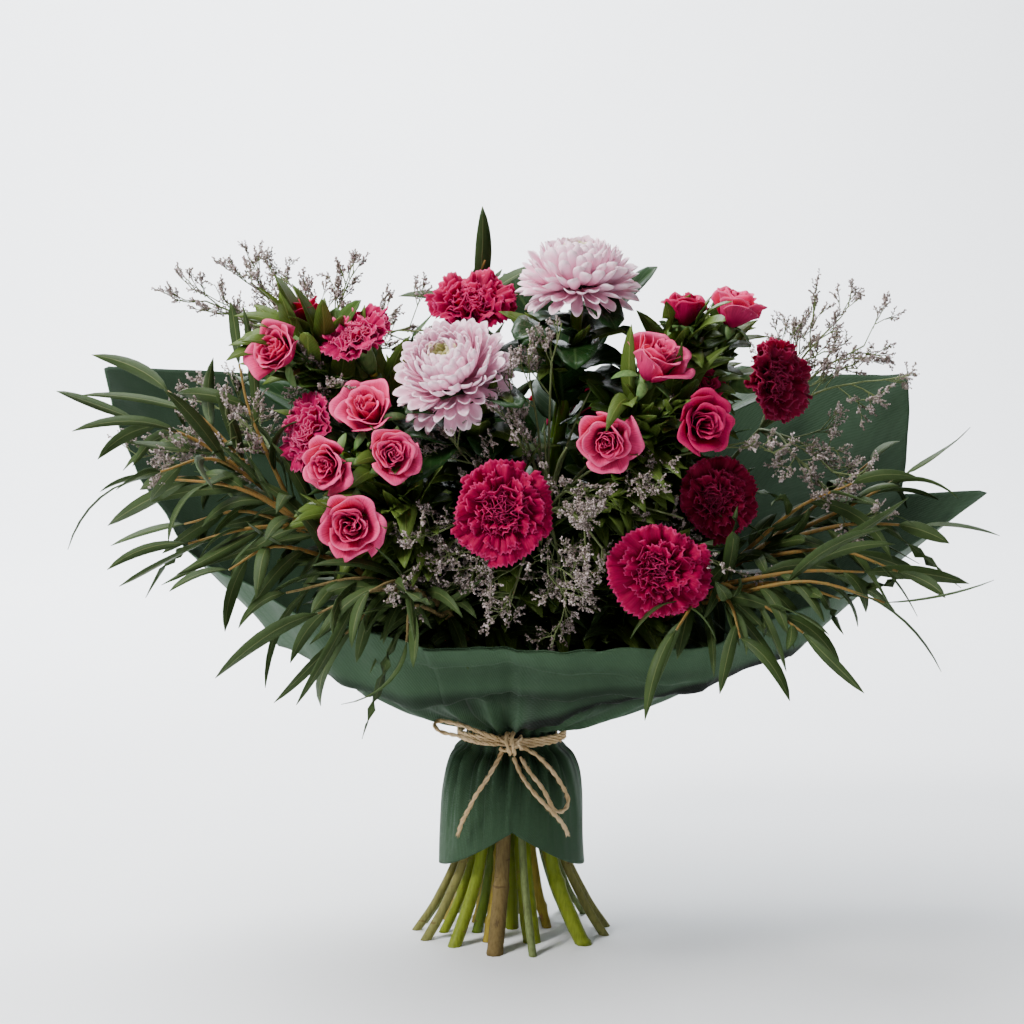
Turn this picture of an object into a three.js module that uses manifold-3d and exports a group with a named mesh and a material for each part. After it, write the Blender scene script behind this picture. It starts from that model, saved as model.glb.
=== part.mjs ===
// A hand-tied bunch of carnations, chrysanthemums and spray roses with foliage, in a paper wrap.
// Units are millimetres. +Z is up, -Y is the front, and the origin is the foot of the centre stem.
import * as THREE from "three";
import { mergeVertices } from "three/addons/utils/BufferGeometryUtils.js";
import Module from "manifold-3d";

const wasm = await Module();
wasm.setup();

// Driving dimensions.
const TIE_Z = 124; // height of the tie above the cut ends
const BUNDLE_R = 24; // radius that the stems fill at the tie
const SPLAY = 2.75; // how much wider the cut ends stand than the tied bundle
const HEM_SPLAY = 1.6; // the same at the height of the wrap's hem
const HEM_Z = 42; // height where the stems leave the wrap
const GAP = 0.3; // clearance between pieces that touch
const TIE_T = 0.8; // thickness of the inner tie
const TIE_ROOM = 2.7; // the inner tie stands this far off the stems, which flare on either side
const SHEET_T = 0.6; // thickness of the wrap, its embossing included
const NEST = 1.6; // how far one sheet's outer edge stands off the other sheet
const WRAP_R = BUNDLE_R + TIE_ROOM + TIE_T + 0.4; // inner radius of the wrap at the tie
const STEM_ROOM = 0.9; // clearance between two stems at the tie
const TWINE_D = 2.7; // diameter of the jute twine
const STRAIGHT = 12; // length of stem that runs straight into a flower

const UP = new THREE.Vector3(0, 0, 1);
const v = (x, y, z) => new THREE.Vector3(x, y, z);

// ---------------------------------------------------------------- solids

function solidOf(geometry) {
  const bare = geometry.clone();
  bare.deleteAttribute("normal");
  bare.deleteAttribute("uv");
  const merged = mergeVertices(bare, 1e-3);
  return new wasm.Manifold(new wasm.Mesh({
    numProp: 3,
    vertProperties: merged.attributes.position.array,
    triVerts: new Uint32Array(merged.index.array),
  }));
}

function geometryOf(solid) {
  const mesh = solid.getMesh();
  const geometry = new THREE.BufferGeometry();
  geometry.setAttribute("position", new THREE.BufferAttribute(mesh.vertProperties, 3));
  geometry.setIndex(new THREE.BufferAttribute(mesh.triVerts, 1));
  geometry.computeVertexNormals();
  return geometry;
}

const union = (geometries) =>
  geometryOf(geometries.map(solidOf).reduce((sum, next) => sum.add(next)));

// Moves every vertex of a geometry to where place(vertex) says.
function reshape(geometry, place) {
  const position = geometry.attributes.position;
  const p = v(0, 0, 0);
  for (let i = 0; i < position.count; i++) {
    p.copy(place(p.fromBufferAttribute(position, i)));
    position.setXYZ(i, p.x, p.y, p.z);
  }
  return geometry;
}

// A round bar of the given radius along a smooth curve through the points.
function bar(points, radius, steps, sides = 6) {
  const section = new THREE.Shape();
  for (let i = 0; i < sides; i++) {
    const angle = (2 * Math.PI * (i + 0.5)) / sides;
    const corner = [radius * Math.cos(angle), radius * Math.sin(angle)];
    if (i) section.lineTo(...corner);
    else section.moveTo(...corner);
  }
  const path = new THREE.CatmullRomCurve3(points, false, "centripetal");
  return new THREE.ExtrudeGeometry(section, { steps, bevelEnabled: false, extrudePath: path });
}

// Cuts away whatever is below the plane that the bunch stands on.
function standOnFloor(geometry) {
  const floor = new THREE.BoxGeometry(400, 400, 60);
  floor.translate(0, 0, -30);
  return geometryOf(solidOf(geometry).subtract(solidOf(floor)));
}

// A leaf of diamond section: `along` is its line, `side` its flat width, and its tip droops.
function leaf(root, along, side, length, width, droop, rings = 4, thick = 1.4) {
  const line = along.clone().normalize();
  const across = side.clone().addScaledVector(line, -side.dot(line)).normalize();
  const face = line.clone().cross(across);
  return reshape(new THREE.SphereGeometry(1, 4, rings), (p) => {
    const t = (1 - p.y) / 2;
    return root.clone()
      .addScaledVector(line, length * t)
      .addScaledVector(across, (p.x * width) / 2)
      .addScaledVector(face, (p.z * thick) / 2)
      .addScaledVector(UP, -droop * t * t);
  });
}

// A small lump of florets.
function cluster(centre, radius) {
  return reshape(new THREE.IcosahedronGeometry(radius, 0), (p) => p.clone().add(centre));
}

// ---------------------------------------------------------------- materials

const surface = (color, roughness) =>
  new THREE.MeshStandardMaterial({ color, roughness, metalness: 0 });

const CARNATION = surface(0xb3123f, 0.75);
const ROSE = surface(0xe0487a, 0.6);
const CHRYSANTHEMUM = surface(0xe6bdd0, 0.7);
const STEM = surface(0x6f9440, 0.5);
const WOODY = surface(0x5f5238, 0.7);
const WILLOW = surface(0x3f5b36, 0.55);
const BROADLEAF = surface(0x2c4f2c, 0.35);
const LIMONIUM = surface(0x9c8f9e, 0.85);
const WRAP = surface(0x2f5340, 0.7);
const TIE = surface(0x3d4a2c, 0.8);
const TWINE = surface(0xc4a270, 0.9);

const bunch = new THREE.Group();

function add(name, geometry, material) {
  const mesh = new THREE.Mesh(geometry, material);
  mesh.name = name;
  bunch.add(mesh);
}

// ---------------------------------------------------------------- the stems at the tie

// Each stem's thickness and the seat it is gathered to at the tie, before they press together.
// A stem sits on the side that it leans to, so that no two cross above or below the tie.
const STEMS = {
  carnation_front: { d: 6, seat: [0, -11] },
  carnation_front_right: { d: 9, seat: [15, -14] },
  carnation_right: { d: 6.5, seat: [17, -6] },
  carnation_far_right: { d: 6, seat: [10, -1] },
  carnation_top: { d: 5.5, seat: [-4, 7] },
  carnation_left: { d: 6, seat: [-15, -3] },
  carnation_upper_left: { d: 6, seat: [-8, 1] },
  carnation_back: { d: 6, seat: [3, 16] },
  chrysanthemum_left: { d: 7, seat: [-4, -6] },
  chrysanthemum_top: { d: 8, seat: [0, 0] },
  rose_upper_left: { d: 6, seat: [-12, 5] },
  rose_left: { d: 8, seat: [-12, -11] },
  rose_right: { d: 12, seat: [8, -12] },
  rose_upper_right: { d: 7, seat: [13, 5] },
  rose_back: { d: 6.5, seat: [-7, 14] },
  willow_upper_left: { d: 5, seat: [-21, -2] },
  willow_left: { d: 6, seat: [-18, -9] },
  willow_front: { d: 10, seat: [-6, -19] },
  willow_right: { d: 6, seat: [21, -2] },
  willow_low_right: { d: 5.5, seat: [20, -9] },
  willow_top: { d: 4.5, seat: [0, 10] },
  limonium_left: { d: 4, seat: [-18, 3] },
  limonium_upper_left: { d: 3.5, seat: [-13, 10] },
  limonium_middle: { d: 5, seat: [4, -20] },
  limonium_right: { d: 4, seat: [15, 9] },
  broadleaf_left: { d: 5, seat: [-13, 16] },
  broadleaf_top: { d: 5, seat: [6, 9] },
  broadleaf_right: { d: 5, seat: [12, 14] },
};

// Presses the stems together: pairs that touch are pushed apart, and all stay in the bundle.
function gather(stems) {
  const all = Object.values(stems);
  for (let round = 0; round < 3000; round++) {
    all.forEach((a, i) => {
      for (const b of all.slice(i + 1)) {
        const apart = [b.seat[0] - a.seat[0], b.seat[1] - a.seat[1]];
        const distance = Math.hypot(...apart);
        const short = (a.d + b.d) / 2 + STEM_ROOM - distance;
        if (short <= 0) continue;
        for (const k of [0, 1]) {
          const push = (apart[k] / distance) * short * 0.5;
          if (a !== stems.chrysanthemum_top) a.seat[k] -= push;
          if (b !== stems.chrysanthemum_top) b.seat[k] += push;
        }
      }
    });
    for (const a of all) {
      const reach = Math.hypot(...a.seat) + a.d / 2;
      if (reach > BUNDLE_R) a.seat = a.seat.map((c) => (c * (BUNDLE_R - a.d / 2)) / (reach - a.d / 2));
    }
  }
}
gather(STEMS);

// The stem from under its cut end, through the wrap and the tie, and on through `above`.
function stalk(name, above, steps = 11) {
  const { d, seat: [x, y] } = STEMS[name];
  const below = -10;
  const spread = SPLAY + ((SPLAY - HEM_SPLAY) * -below) / HEM_Z;
  const points = [
    v(x * spread, y * spread, below),
    v(x * HEM_SPLAY, y * HEM_SPLAY, HEM_Z),
    v(x, y, TIE_Z - 4),
    v(x * 1.03, y * 1.03, TIE_Z + 12),
    ...above,
  ];
  return bar(points, d / 2, steps, 6);
}

// ---------------------------------------------------------------- flowers

// Profiles run from the stem's end up round the flower: [radius, height].
const carnationProfile = (r) => [
  [0, 0], [3.2, 0], [5.5, 6], [6.5, 20], [0.6 * r, 27],
  [0.97 * r, 34], [r, 41], [0.72 * r, 50], [0, 54],
];
const roseProfile = (r) => [
  [0, 0], [2.2, 0], [4.5, 5], [0.78 * r, 0.62 * r], [r, 1.15 * r], [0.8 * r, 1.62 * r], [0, 1.7 * r],
];
const chrysanthemumProfile = (r) => [
  [0, 0], [4, 0], [8, 6], [0.8 * r, 12], [r, 20], [0.85 * r, 32], [0.4 * r, 38], [0, 36],
];
const KINDS = {
  carnation: { profile: carnationProfile, middle: 40, lobes: 7, ruffle: 0.05, turns: 14 },
  rose: { profile: roseProfile, middle: 16, lobes: 5, ruffle: 0.04, turns: 12 },
  chrysanthemum: { profile: chrysanthemumProfile, middle: 20, lobes: 10, ruffle: 0.03, turns: 20 },
};

// Where a flower joins its stem, from where its middle is and the way it faces.
function flower(kind, middle, facing, radius) {
  const face = v(...facing).normalize();
  const base = v(...middle).addScaledVector(face, -KINDS[kind].middle);
  return { kind, face, base, radius };
}

function bloom({ kind, face, base, radius }) {
  const { profile, lobes, ruffle, turns } = KINDS[kind];
  const outline = profile(radius).map(([r, h]) => new THREE.Vector2(r, h));
  const turn = new THREE.Quaternion().setFromUnitVectors(v(0, 1, 0), face);
  return reshape(new THREE.LatheGeometry(outline, turns), (p) => {
    const wave = 1 + ruffle * Math.cos(lobes * Math.atan2(p.z, p.x) + p.y / 6);
    const full = Math.hypot(p.x, p.z) > 0.5 * radius ? wave : 1;
    return v(p.x * full, p.y, p.z * full).applyQuaternion(turn).add(base);
  });
}

// The last stretch of a stem: it turns to run straight into the flower and stops just short.
function neck({ face, base }, straight = STRAIGHT) {
  return [base.clone().addScaledVector(face, -straight), base.clone().addScaledVector(face, -GAP)];
}

// Each single flower: where its middle is, the way it faces, and its radius.
const SINGLE = {
  carnation_front: flower("carnation", [-6, -118, 275], [-0.05, -1, 0.15], 31),
  carnation_front_right: flower("carnation", [81, -120, 241], [-0.1, -1, 0], 30),
  carnation_right: flower("carnation", [119, -94, 279], [0.25, -0.95, 0.15], 26),
  carnation_far_right: flower("carnation", [156, -68, 344], [0.7, -0.68, 0.15], 28),
  carnation_top: flower("carnation", [-23, -30, 390], [0.05, -0.55, 0.85], 29),
  carnation_left: flower("carnation", [-124, -72, 318], [-0.75, -0.5, 0.35], 26),
  carnation_upper_left: flower("carnation", [-93, -60, 378], [-0.3, -0.5, 0.8], 24),
  carnation_back: flower("carnation", [40, 84, 318], [0.2, 0.8, 0.6], 28),
  chrysanthemum_left: flower("chrysanthemum", [-36, -92, 354], [-0.35, -0.62, 0.7], 35),
  chrysanthemum_top: flower("chrysanthemum", [38, -46, 407], [0, -0.12, 1], 35),
};

for (const [name, one] of Object.entries(SINGLE)) {
  const tone = one.kind === "carnation" ? CARNATION : CHRYSANTHEMUM;
  add(`${name}_head`, bloom(one), tone);
  add(`${name}_stem`, standOnFloor(stalk(name, neck(one))), STEM);
}

// Each spray of roses: where its stem forks, and its blooms.
const SPRAYS = {
  rose_upper_left: {
    fork: [-84, -32, 300],
    blooms: {
      outer: flower("rose", [-133, -66, 359], [-0.45, -0.75, 0.4], 17),
      bud: flower("rose", [-122, -36, 384], [-0.25, -0.1, 1], 11),
    },
  },
  rose_left: {
    fork: [-48, -56, 230],
    blooms: {
      upper: flower("rose", [-80, -86, 326], [-0.25, -0.75, 0.6], 18),
      outer: flower("rose", [-102, -108, 300], [-0.35, -0.9, 0], 16),
      inner: flower("rose", [-66, -112, 306], [0.1, -0.95, 0.2], 16),
      lower: flower("rose", [-89, -114, 267], [-0.05, -1, 0.1], 19),
    },
  },
  rose_right: {
    fork: [46, -56, 255],
    blooms: {
      upper: flower("rose", [79, -86, 353], [0.35, -0.45, 0.8], 19),
      inner: flower("rose", [53, -108, 313], [-0.1, -0.95, -0.05], 18),
      outer: flower("rose", [106, -96, 321], [0.25, -0.95, 0.1], 18),
      back: flower("rose", [110, -66, 342], [0.1, -0.85, 0.4], 12),
    },
  },
  rose_upper_right: {
    fork: [86, -10, 310],
    blooms: {
      bud: flower("rose", [99, -56, 384], [0.1, -0.05, 1], 14),
      outer: flower("rose", [129, -38, 381], [0.35, -0.1, 0.9], 17),
    },
  },
  rose_back: {
    fork: [-44, 50, 270],
    blooms: {
      inner: flower("rose", [-38, 76, 334], [0, 0.6, 0.8], 18),
      outer: flower("rose", [-88, 66, 322], [-0.5, 0.6, 0.6], 17),
    },
  },
};
const TWIG_R = 2; // radius of the twig that carries one rose

// A closed bud is one piece with its twig, so it is set a little way down onto it.
const sunk = (geometry, face) => geometry.translate(...face.clone().multiplyScalar(-3));

for (const [name, { fork, blooms }] of Object.entries(SPRAYS)) {
  const fan = Object.values(blooms);
  const twigs = fan.map((one) => bar([v(...fork), ...neck(one, 10)], TWIG_R, 4, 5));
  const stem = stalk(name, [v(...fork)], 9);
  const closed = blooms.bud ? [sunk(bloom(blooms.bud), blooms.bud.face)] : [];
  add(`${name}_stem`, standOnFloor(union([stem, ...twigs, ...closed])), STEM);
  for (const [where, one] of Object.entries(blooms))
    if (where !== "bud") add(`${name}_head_${where}`, bloom(one), ROSE);
}

// ---------------------------------------------------------------- willow-leaved branches

// Leaves stand out by turns on either side of a twig, from `from` to its end.
function leafyTwig(points, radius, leaves, length, width, droop, from = 0.2) {
  const path = new THREE.CatmullRomCurve3(points.map((p) => v(...p)), false, "centripetal");
  const pieces = [bar(points.map((p) => v(...p)), radius, 5, 4)];
  for (let i = 0; i < leaves; i++) {
    const t = from + ((1 - from) * (i + 0.5)) / leaves;
    const forward = path.getTangentAt(t);
    const side = forward.clone().cross(UP).normalize().multiplyScalar(i % 2 ? 1 : -1);
    const lift = 0.35 * Math.sin(2.4 * i);
    const along = forward.clone().multiplyScalar(0.8).addScaledVector(side, 0.75).addScaledVector(UP, lift);
    pieces.push(leaf(path.getPointAt(t), along, UP.clone().addScaledVector(side, 0.5), length, width, droop));
  }
  pieces.push(leaf(path.getPointAt(0.97), path.getTangentAt(1), UP, length, width, droop));
  return pieces;
}

const BRANCHES = {
  willow_upper_left: {
    rise: [[-62, -34, 200], [-138, -66, 280]],
    twigs: [{ path: [[-138, -66, 280], [-176, -54, 318], [-200, -36, 334]], leaves: 6, length: 58 }],
  },
  willow_left: {
    rise: [[-50, -48, 190], [-112, -86, 262]],
    twigs: [
      { path: [[-112, -86, 262], [-160, -78, 286], [-205, -62, 287]], leaves: 6, length: 62 },
      { path: [[-112, -86, 262], [-146, -108, 264], [-180, -112, 256]], leaves: 4, length: 52 },
    ],
  },
  willow_front: {
    rise: [[-20, -50, 178], [-44, -92, 224]],
    twigs: [
      { path: [[-44, -92, 224], [-76, -126, 232], [-106, -142, 222]], leaves: 6, length: 52 },
    ],
  },
  willow_right: {
    rise: [[72, -30, 190], [146, -64, 248]],
    twigs: [
      { path: [[146, -64, 248], [192, -66, 270], [226, -58, 288]], leaves: 6, length: 58 },
    ],
  },
  willow_low_right: {
    rise: [[62, -44, 184], [120, -92, 230]],
    twigs: [
      { path: [[120, -92, 230], [160, -110, 240], [196, -112, 240]], leaves: 6, length: 50 },
      { path: [[120, -92, 230], [140, -116, 222], [160, -136, 210]], leaves: 3, length: 40 },
    ],
  },
  willow_top: {
    rise: [[-10, 14, 250], [-20, 12, 372]],
    twigs: [{ path: [[-20, 12, 372], [-20, 14, 396], [-16, 14, 408]], leaves: 2, length: 50 }],
  },
};

for (const [name, { rise, twigs }] of Object.entries(BRANCHES)) {
  const main = stalk(name, rise.map((p) => v(...p)), 10);
  const leafy = twigs.flatMap(({ path, leaves, length }) =>
    leafyTwig(path, 1.4, leaves, length, 9, 14));
  add(name, standOnFloor(union([main, ...leafy])), name === "willow_front" ? WOODY : WILLOW);
}

// ---------------------------------------------------------------- limonium

const LIMONIUM_SPRAYS = {
  limonium_left: {
    rise: [[-90, -8, 240], [-140, -30, 296]],
    tips: [[-196, -44, 300], [-180, 0, 322], [-160, 20, 308]],
  },
  limonium_upper_left: {
    rise: [[-62, 12, 260], [-112, -10, 340]],
    tips: [[-178, -30, 386], [-152, -20, 396], [-130, 6, 392], [-146, 20, 360]],
  },
  limonium_middle: {
    rise: [[6, -44, 200], [20, -74, 270]],
    tips: [[18, -100, 318], [38, -96, 280], [46, -66, 340]],
  },
  limonium_right: {
    rise: [[92, 2, 250], [146, -20, 310]],
    tips: [[184, -34, 370], [204, -40, 340], [184, -64, 290], [170, 10, 350]],
  },
};

for (const [name, { rise, tips }] of Object.entries(LIMONIUM_SPRAYS)) {
  const main = stalk(name, rise.map((p) => v(...p)), 10);
  const fork = v(...rise.at(-1));
  const twigs = tips.flatMap((tip) => {
    const end = v(...tip);
    const half = fork.clone().lerp(end, 0.6).add(v(0, 0, 5));
    return [bar([fork, half, end], 1.1, 2, 4), cluster(end, 9)];
  });
  add(name, standOnFloor(union([main, ...twigs])), LIMONIUM);
}

// ---------------------------------------------------------------- broad leaves

// Each leaf: its tip end, how broad it is, and how far it droops.
const BROADLEAVES = {
  broadleaf_left: {
    rise: [[-52, 44, 240], [-84, 52, 286]],
    leaves: [
      { to: [-150, 70, 340], width: 34 }, { to: [-160, 30, 330], width: 34 },
      { to: [-100, 110, 320], width: 32 },
    ],
  },
  broadleaf_top: {
    rise: [[16, 8, 250], [30, 4, 340]],
    leaves: [
      { to: [84, -14, 402], width: 30 }, { to: [-4, 40, 396], width: 30 },
      { to: [60, 48, 384], width: 32 },
    ],
  },
  broadleaf_right: {
    rise: [[56, 50, 240], [92, 60, 286]],
    leaves: [
      { to: [150, 76, 336], width: 34 }, { to: [160, 36, 326], width: 34 },
      { to: [110, 116, 318], width: 32 },
    ],
  },
};

for (const [name, { rise, leaves }] of Object.entries(BROADLEAVES)) {
  const main = stalk(name, rise.map((p) => v(...p)), 10);
  const fork = v(...rise.at(-1));
  const blades = leaves.map(({ to, width }) => {
    const along = v(...to).sub(fork);
    const root = fork.clone().addScaledVector(along, -4 / along.length());
    return leaf(root, along, along.clone().cross(UP), along.length(), width, 12, 5, 2.4);
  });
  add(name, standOnFloor(union([main, ...blades])), BROADLEAF);
}

// ---------------------------------------------------------------- the inner tie

// A ring with a rectangular section, from radius `inner` outwards, centred on height z.
function hoop(inner, thick, z, height, turns = 24) {
  const section = [
    [inner, -height / 2], [inner + thick, -height / 2], [inner + thick, height / 2],
    [inner, height / 2], [inner, -height / 2],
  ].map(([r, h]) => new THREE.Vector2(r, h));
  return reshape(new THREE.LatheGeometry(section, turns), (p) => v(p.x, -p.z, p.y + z));
}
add("inner_tie", hoop(BUNDLE_R + TIE_ROOM, TIE_T, TIE_Z, 5), TIE);

// ---------------------------------------------------------------- the wrap

// The rim of the opened wrap: [angle from the front towards +X, radius, height].
const RIM = [
  [-210, 176, 318], [-180, 150, 312], [-150, 176, 320], [-127.5, 222, 334], [-105, 262, 341],
  [-97.5, 246, 318], [-90, 222, 280], [-82.5, 205, 262], [-67.5, 190, 238], [-45, 155, 216],
  [-22.5, 124, 203], [0, 112, 199], [22.5, 120, 199], [45, 152, 204], [60, 192, 222],
  [75, 250, 256], [82.5, 281, 277], [90, 232, 270], [97.5, 244, 300], [105, 257, 334],
  [127.5, 216, 328], [150, 176, 318], [180, 150, 312], [210, 176, 320],
];
const COLUMN = 7.5; // degrees round the bunch between two columns of a sheet
const WAIST_HALF = 7; // half the height of the straight waist that the twine sits on
const HEM = { low: 43, peak: 72 }; // the hem's height at the sides and at the front

function rimAt(angle) {
  const i = Math.max(1, RIM.findIndex(([a]) => a >= angle - 1e-6));
  const [a0, r0, z0] = RIM[i - 1];
  const [a1, r1, z1] = RIM[i];
  const t = THREE.MathUtils.clamp((angle - a0) / (a1 - a0), 0, 1);
  return { r: r0 + (r1 - r0) * t, z: z0 + (z1 - z0) * t };
}

function hemAt(angle) {
  const front = Math.abs(angle) < 90 ? 1 - Math.abs(Math.sin((angle * Math.PI) / 180)) : 0;
  return HEM.low + (HEM.peak - HEM.low) * front;
}

// The levels of a sheet from hem to rim, as [radius, height] at one angle round the bunch.
function wrapProfile(angle) {
  const rim = rimAt(angle);
  const hem = hemAt(angle);
  const low = TIE_Z - WAIST_HALF;
  const high = TIE_Z + WAIST_HALF;
  const belly = 20 * Math.abs(Math.sin((angle * Math.PI) / 180));
  const open = [0.1, 0.3, 0.55, 0.8, 1].map((t) => [
    WRAP_R + (rim.r - WRAP_R) * t,
    high + (rim.z - high) * t - belly * Math.sin(Math.PI * t),
  ]);
  return [
    [43, hem], [41, Math.max(hem + 8, 88)], [36, low - 9], [WRAP_R, low], [WRAP_R, high], ...open,
  ];
}

// One sheet of the wrap, between two angles. It stands NEST further out at its first edge than
// at its last, so that each sheet's first edge lies over the other sheet's last edge.
function wrapSheet(from, to) {
  const columns = Math.round((to - from) / COLUMN);
  const rows = wrapProfile(0).length - 1;
  const box = new THREE.BoxGeometry(1, 1, 1, columns, rows, 1);
  return reshape(box, (p) => {
    const angle = from + (p.x + 0.5) * (to - from);
    const level = Math.round((p.y + 0.5) * rows);
    const profile = wrapProfile(angle);
    const [r, z] = profile[level];
    const before = profile[Math.max(level - 1, 0)];
    const after = profile[Math.min(level + 1, rows)];
    const run = new THREE.Vector2(after[0] - before[0], after[1] - before[1]).normalize();
    const lift = (NEST * (to - angle)) / (to - from) + (p.z < 0 ? 0 : SHEET_T);
    const radius = r + run.y * lift;
    const height = z - run.x * lift;
    const turn = (angle * Math.PI) / 180;
    return v(radius * Math.sin(turn), -radius * Math.cos(turn), height);
  });
}
add("wrap_sheet_left", wrapSheet(-202.5, 22.5), WRAP);
add("wrap_sheet_right", wrapSheet(-22.5, 202.5), WRAP);

// ---------------------------------------------------------------- the twine

const WRAP_OUTER_R = WRAP_R + NEST + SHEET_T;
const BAND_R = WRAP_OUTER_R + 2 * GAP;
const BAND_H = 3 * TWINE_D;
add("twine_band", hoop(BAND_R, TWINE_D, TIE_Z, BAND_H), TWINE);

const KNOT_Y = -(BAND_R + TWINE_D + GAP + 4.2);
const knot = reshape(new THREE.SphereGeometry(1, 10, 6), (p) =>
  v(-1 + 7 * p.x, KNOT_Y - 4 * p.z, TIE_Z + 1 + 6 * p.y));
add("twine_knot", knot, TWINE);

const LOOPS = {
  twine_loop_left: [
    [-9, -36, 128], [-18, -43, 132.5], [-29, -48, 138], [-40, -51, 141.5], [-44, -53.9, 141.6],
    [-45, -58.6, 140.3], [-42.4, -62.3, 138.2], [-37.7, -62.8, 136.6], [-31, -58, 134],
    [-20, -49.5, 128.5], [-9, -36.5, 124],
  ],
  twine_loop_right: [
    [7, -36, 122], [14.5, -40.5, 118.5], [23, -41.5, 110], [29, -40, 101], [33, -38, 92.5],
    [32.8, -39.5, 87.6], [29.8, -42.6, 84.9], [25.7, -45.6, 85.9], [23, -46.6, 90.1],
    [18, -47.5, 100], [11, -47.2, 109], [5, -42, 117.5],
  ],
  twine_tail_left: [
    [-6, -38, 119.5], [-10, -43, 113], [-15, -46, 105], [-21, -46, 96], [-26, -44, 86],
    [-30, -41, 77], [-32, -39, 70],
  ],
  twine_tail_right: [
    [1, -41, 117], [5, -47, 109], [11, -52, 101], [18, -53, 93], [25, -50, 85],
    [30, -46, 78], [33, -43, 71],
  ],
};
for (const [name, points] of Object.entries(LOOPS))
  add(name, bar(points.map((p) => v(...p)), TWINE_D / 2, 22, 8), TWINE);

export default bunch;
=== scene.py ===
import math
import random

import bmesh
import bpy
from mathutils import Matrix, Vector, noise


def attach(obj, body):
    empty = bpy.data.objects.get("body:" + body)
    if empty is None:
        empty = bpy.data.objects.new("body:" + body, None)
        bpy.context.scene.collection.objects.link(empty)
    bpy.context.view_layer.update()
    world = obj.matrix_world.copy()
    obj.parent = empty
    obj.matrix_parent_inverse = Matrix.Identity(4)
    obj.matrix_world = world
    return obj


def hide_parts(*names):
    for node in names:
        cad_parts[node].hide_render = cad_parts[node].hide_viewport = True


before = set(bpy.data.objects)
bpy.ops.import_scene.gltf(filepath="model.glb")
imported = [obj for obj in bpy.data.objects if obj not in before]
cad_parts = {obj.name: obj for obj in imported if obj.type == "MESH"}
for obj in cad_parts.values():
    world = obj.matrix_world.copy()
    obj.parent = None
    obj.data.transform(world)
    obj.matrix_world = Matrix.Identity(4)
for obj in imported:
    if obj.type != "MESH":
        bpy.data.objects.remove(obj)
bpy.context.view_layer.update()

# ------------------------------------------------------------------ the studio
# A pale seamless sweep, a large soft lamp high on the left and a faint fill, and a long lens
# at table height, so that the right side of the bunch falls into shade.

CAMERA_AWAY = 1.5
CAMERA_LIFT = math.radians(8)
CAMERA_AIM = Vector((0, 0, 0.258))
LENS = 87.9

lens = bpy.data.cameras.new("camera")
lens.lens = LENS
lens.sensor_width = 36
camera = bpy.data.objects.new("camera", lens)
bpy.context.scene.collection.objects.link(camera)
toward_camera = Vector((0, -math.cos(CAMERA_LIFT), math.sin(CAMERA_LIFT)))
camera.location = CAMERA_AIM + CAMERA_AWAY * toward_camera
camera.rotation_euler = (math.pi / 2 - CAMERA_LIFT, 0, 0)
bpy.context.scene.camera = camera


def lamp(name, place, aim, size, watts, colour):
    light = bpy.data.lights.new(name, "AREA")
    light.shape = "DISK"
    light.size = size
    light.energy = watts
    light.color = colour
    stand = bpy.data.objects.new(name, light)
    bpy.context.scene.collection.objects.link(stand)
    stand.location = place
    stand.rotation_euler = (Vector(aim) - Vector(place)).to_track_quat("-Z", "Y").to_euler()


lamp("key", (-1.4, -0.9, 1.7), (0, 0, 0.27), 0.6, 66, (1, 0.99, 0.97))
lamp("top", (-0.7, 0.1, 2.3), (-0.1, 0, 0), 1.4, 46, (0.98, 0.99, 1))
lamp("wall", (-0.4, 1.0, 2.0), (-0.4, 2.4, 0.5), 1.5, 165, (0.94, 0.97, 1))
lamp("fill", (0.8, -2.6, 0.9), (0, 0, 0.22), 1.6, 6, (0.96, 0.98, 1))

world = bpy.data.worlds.new("studio")
bpy.context.scene.world = world
world.use_nodes = True
world.node_tree.nodes["Background"].inputs["Color"].default_value = (0.86, 0.9, 0.95, 1)
world.node_tree.nodes["Background"].inputs["Strength"].default_value = 0.12

MATT = 0.14  # the specular level of petals, leaves, stems and paper


class Socket:
    """A shader socket that takes part in sums: an expression on sockets adds its Math nodes."""

    def __init__(self, shader, link):
        self.shader, self.link = shader, link

    def _sum(self, operation, left, right):
        return self.shader.node("ShaderNodeMath", {"operation": operation}, {0: left, 1: right})

    def __add__(self, other):
        return self._sum("ADD", self, other)

    def __radd__(self, other):
        return self._sum("ADD", other, self)

    def __sub__(self, other):
        return self._sum("SUBTRACT", self, other)

    def __rsub__(self, other):
        return self._sum("SUBTRACT", other, self)

    def __mul__(self, other):
        return self._sum("MULTIPLY", self, other)

    def __rmul__(self, other):
        return self._sum("MULTIPLY", other, self)


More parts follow.
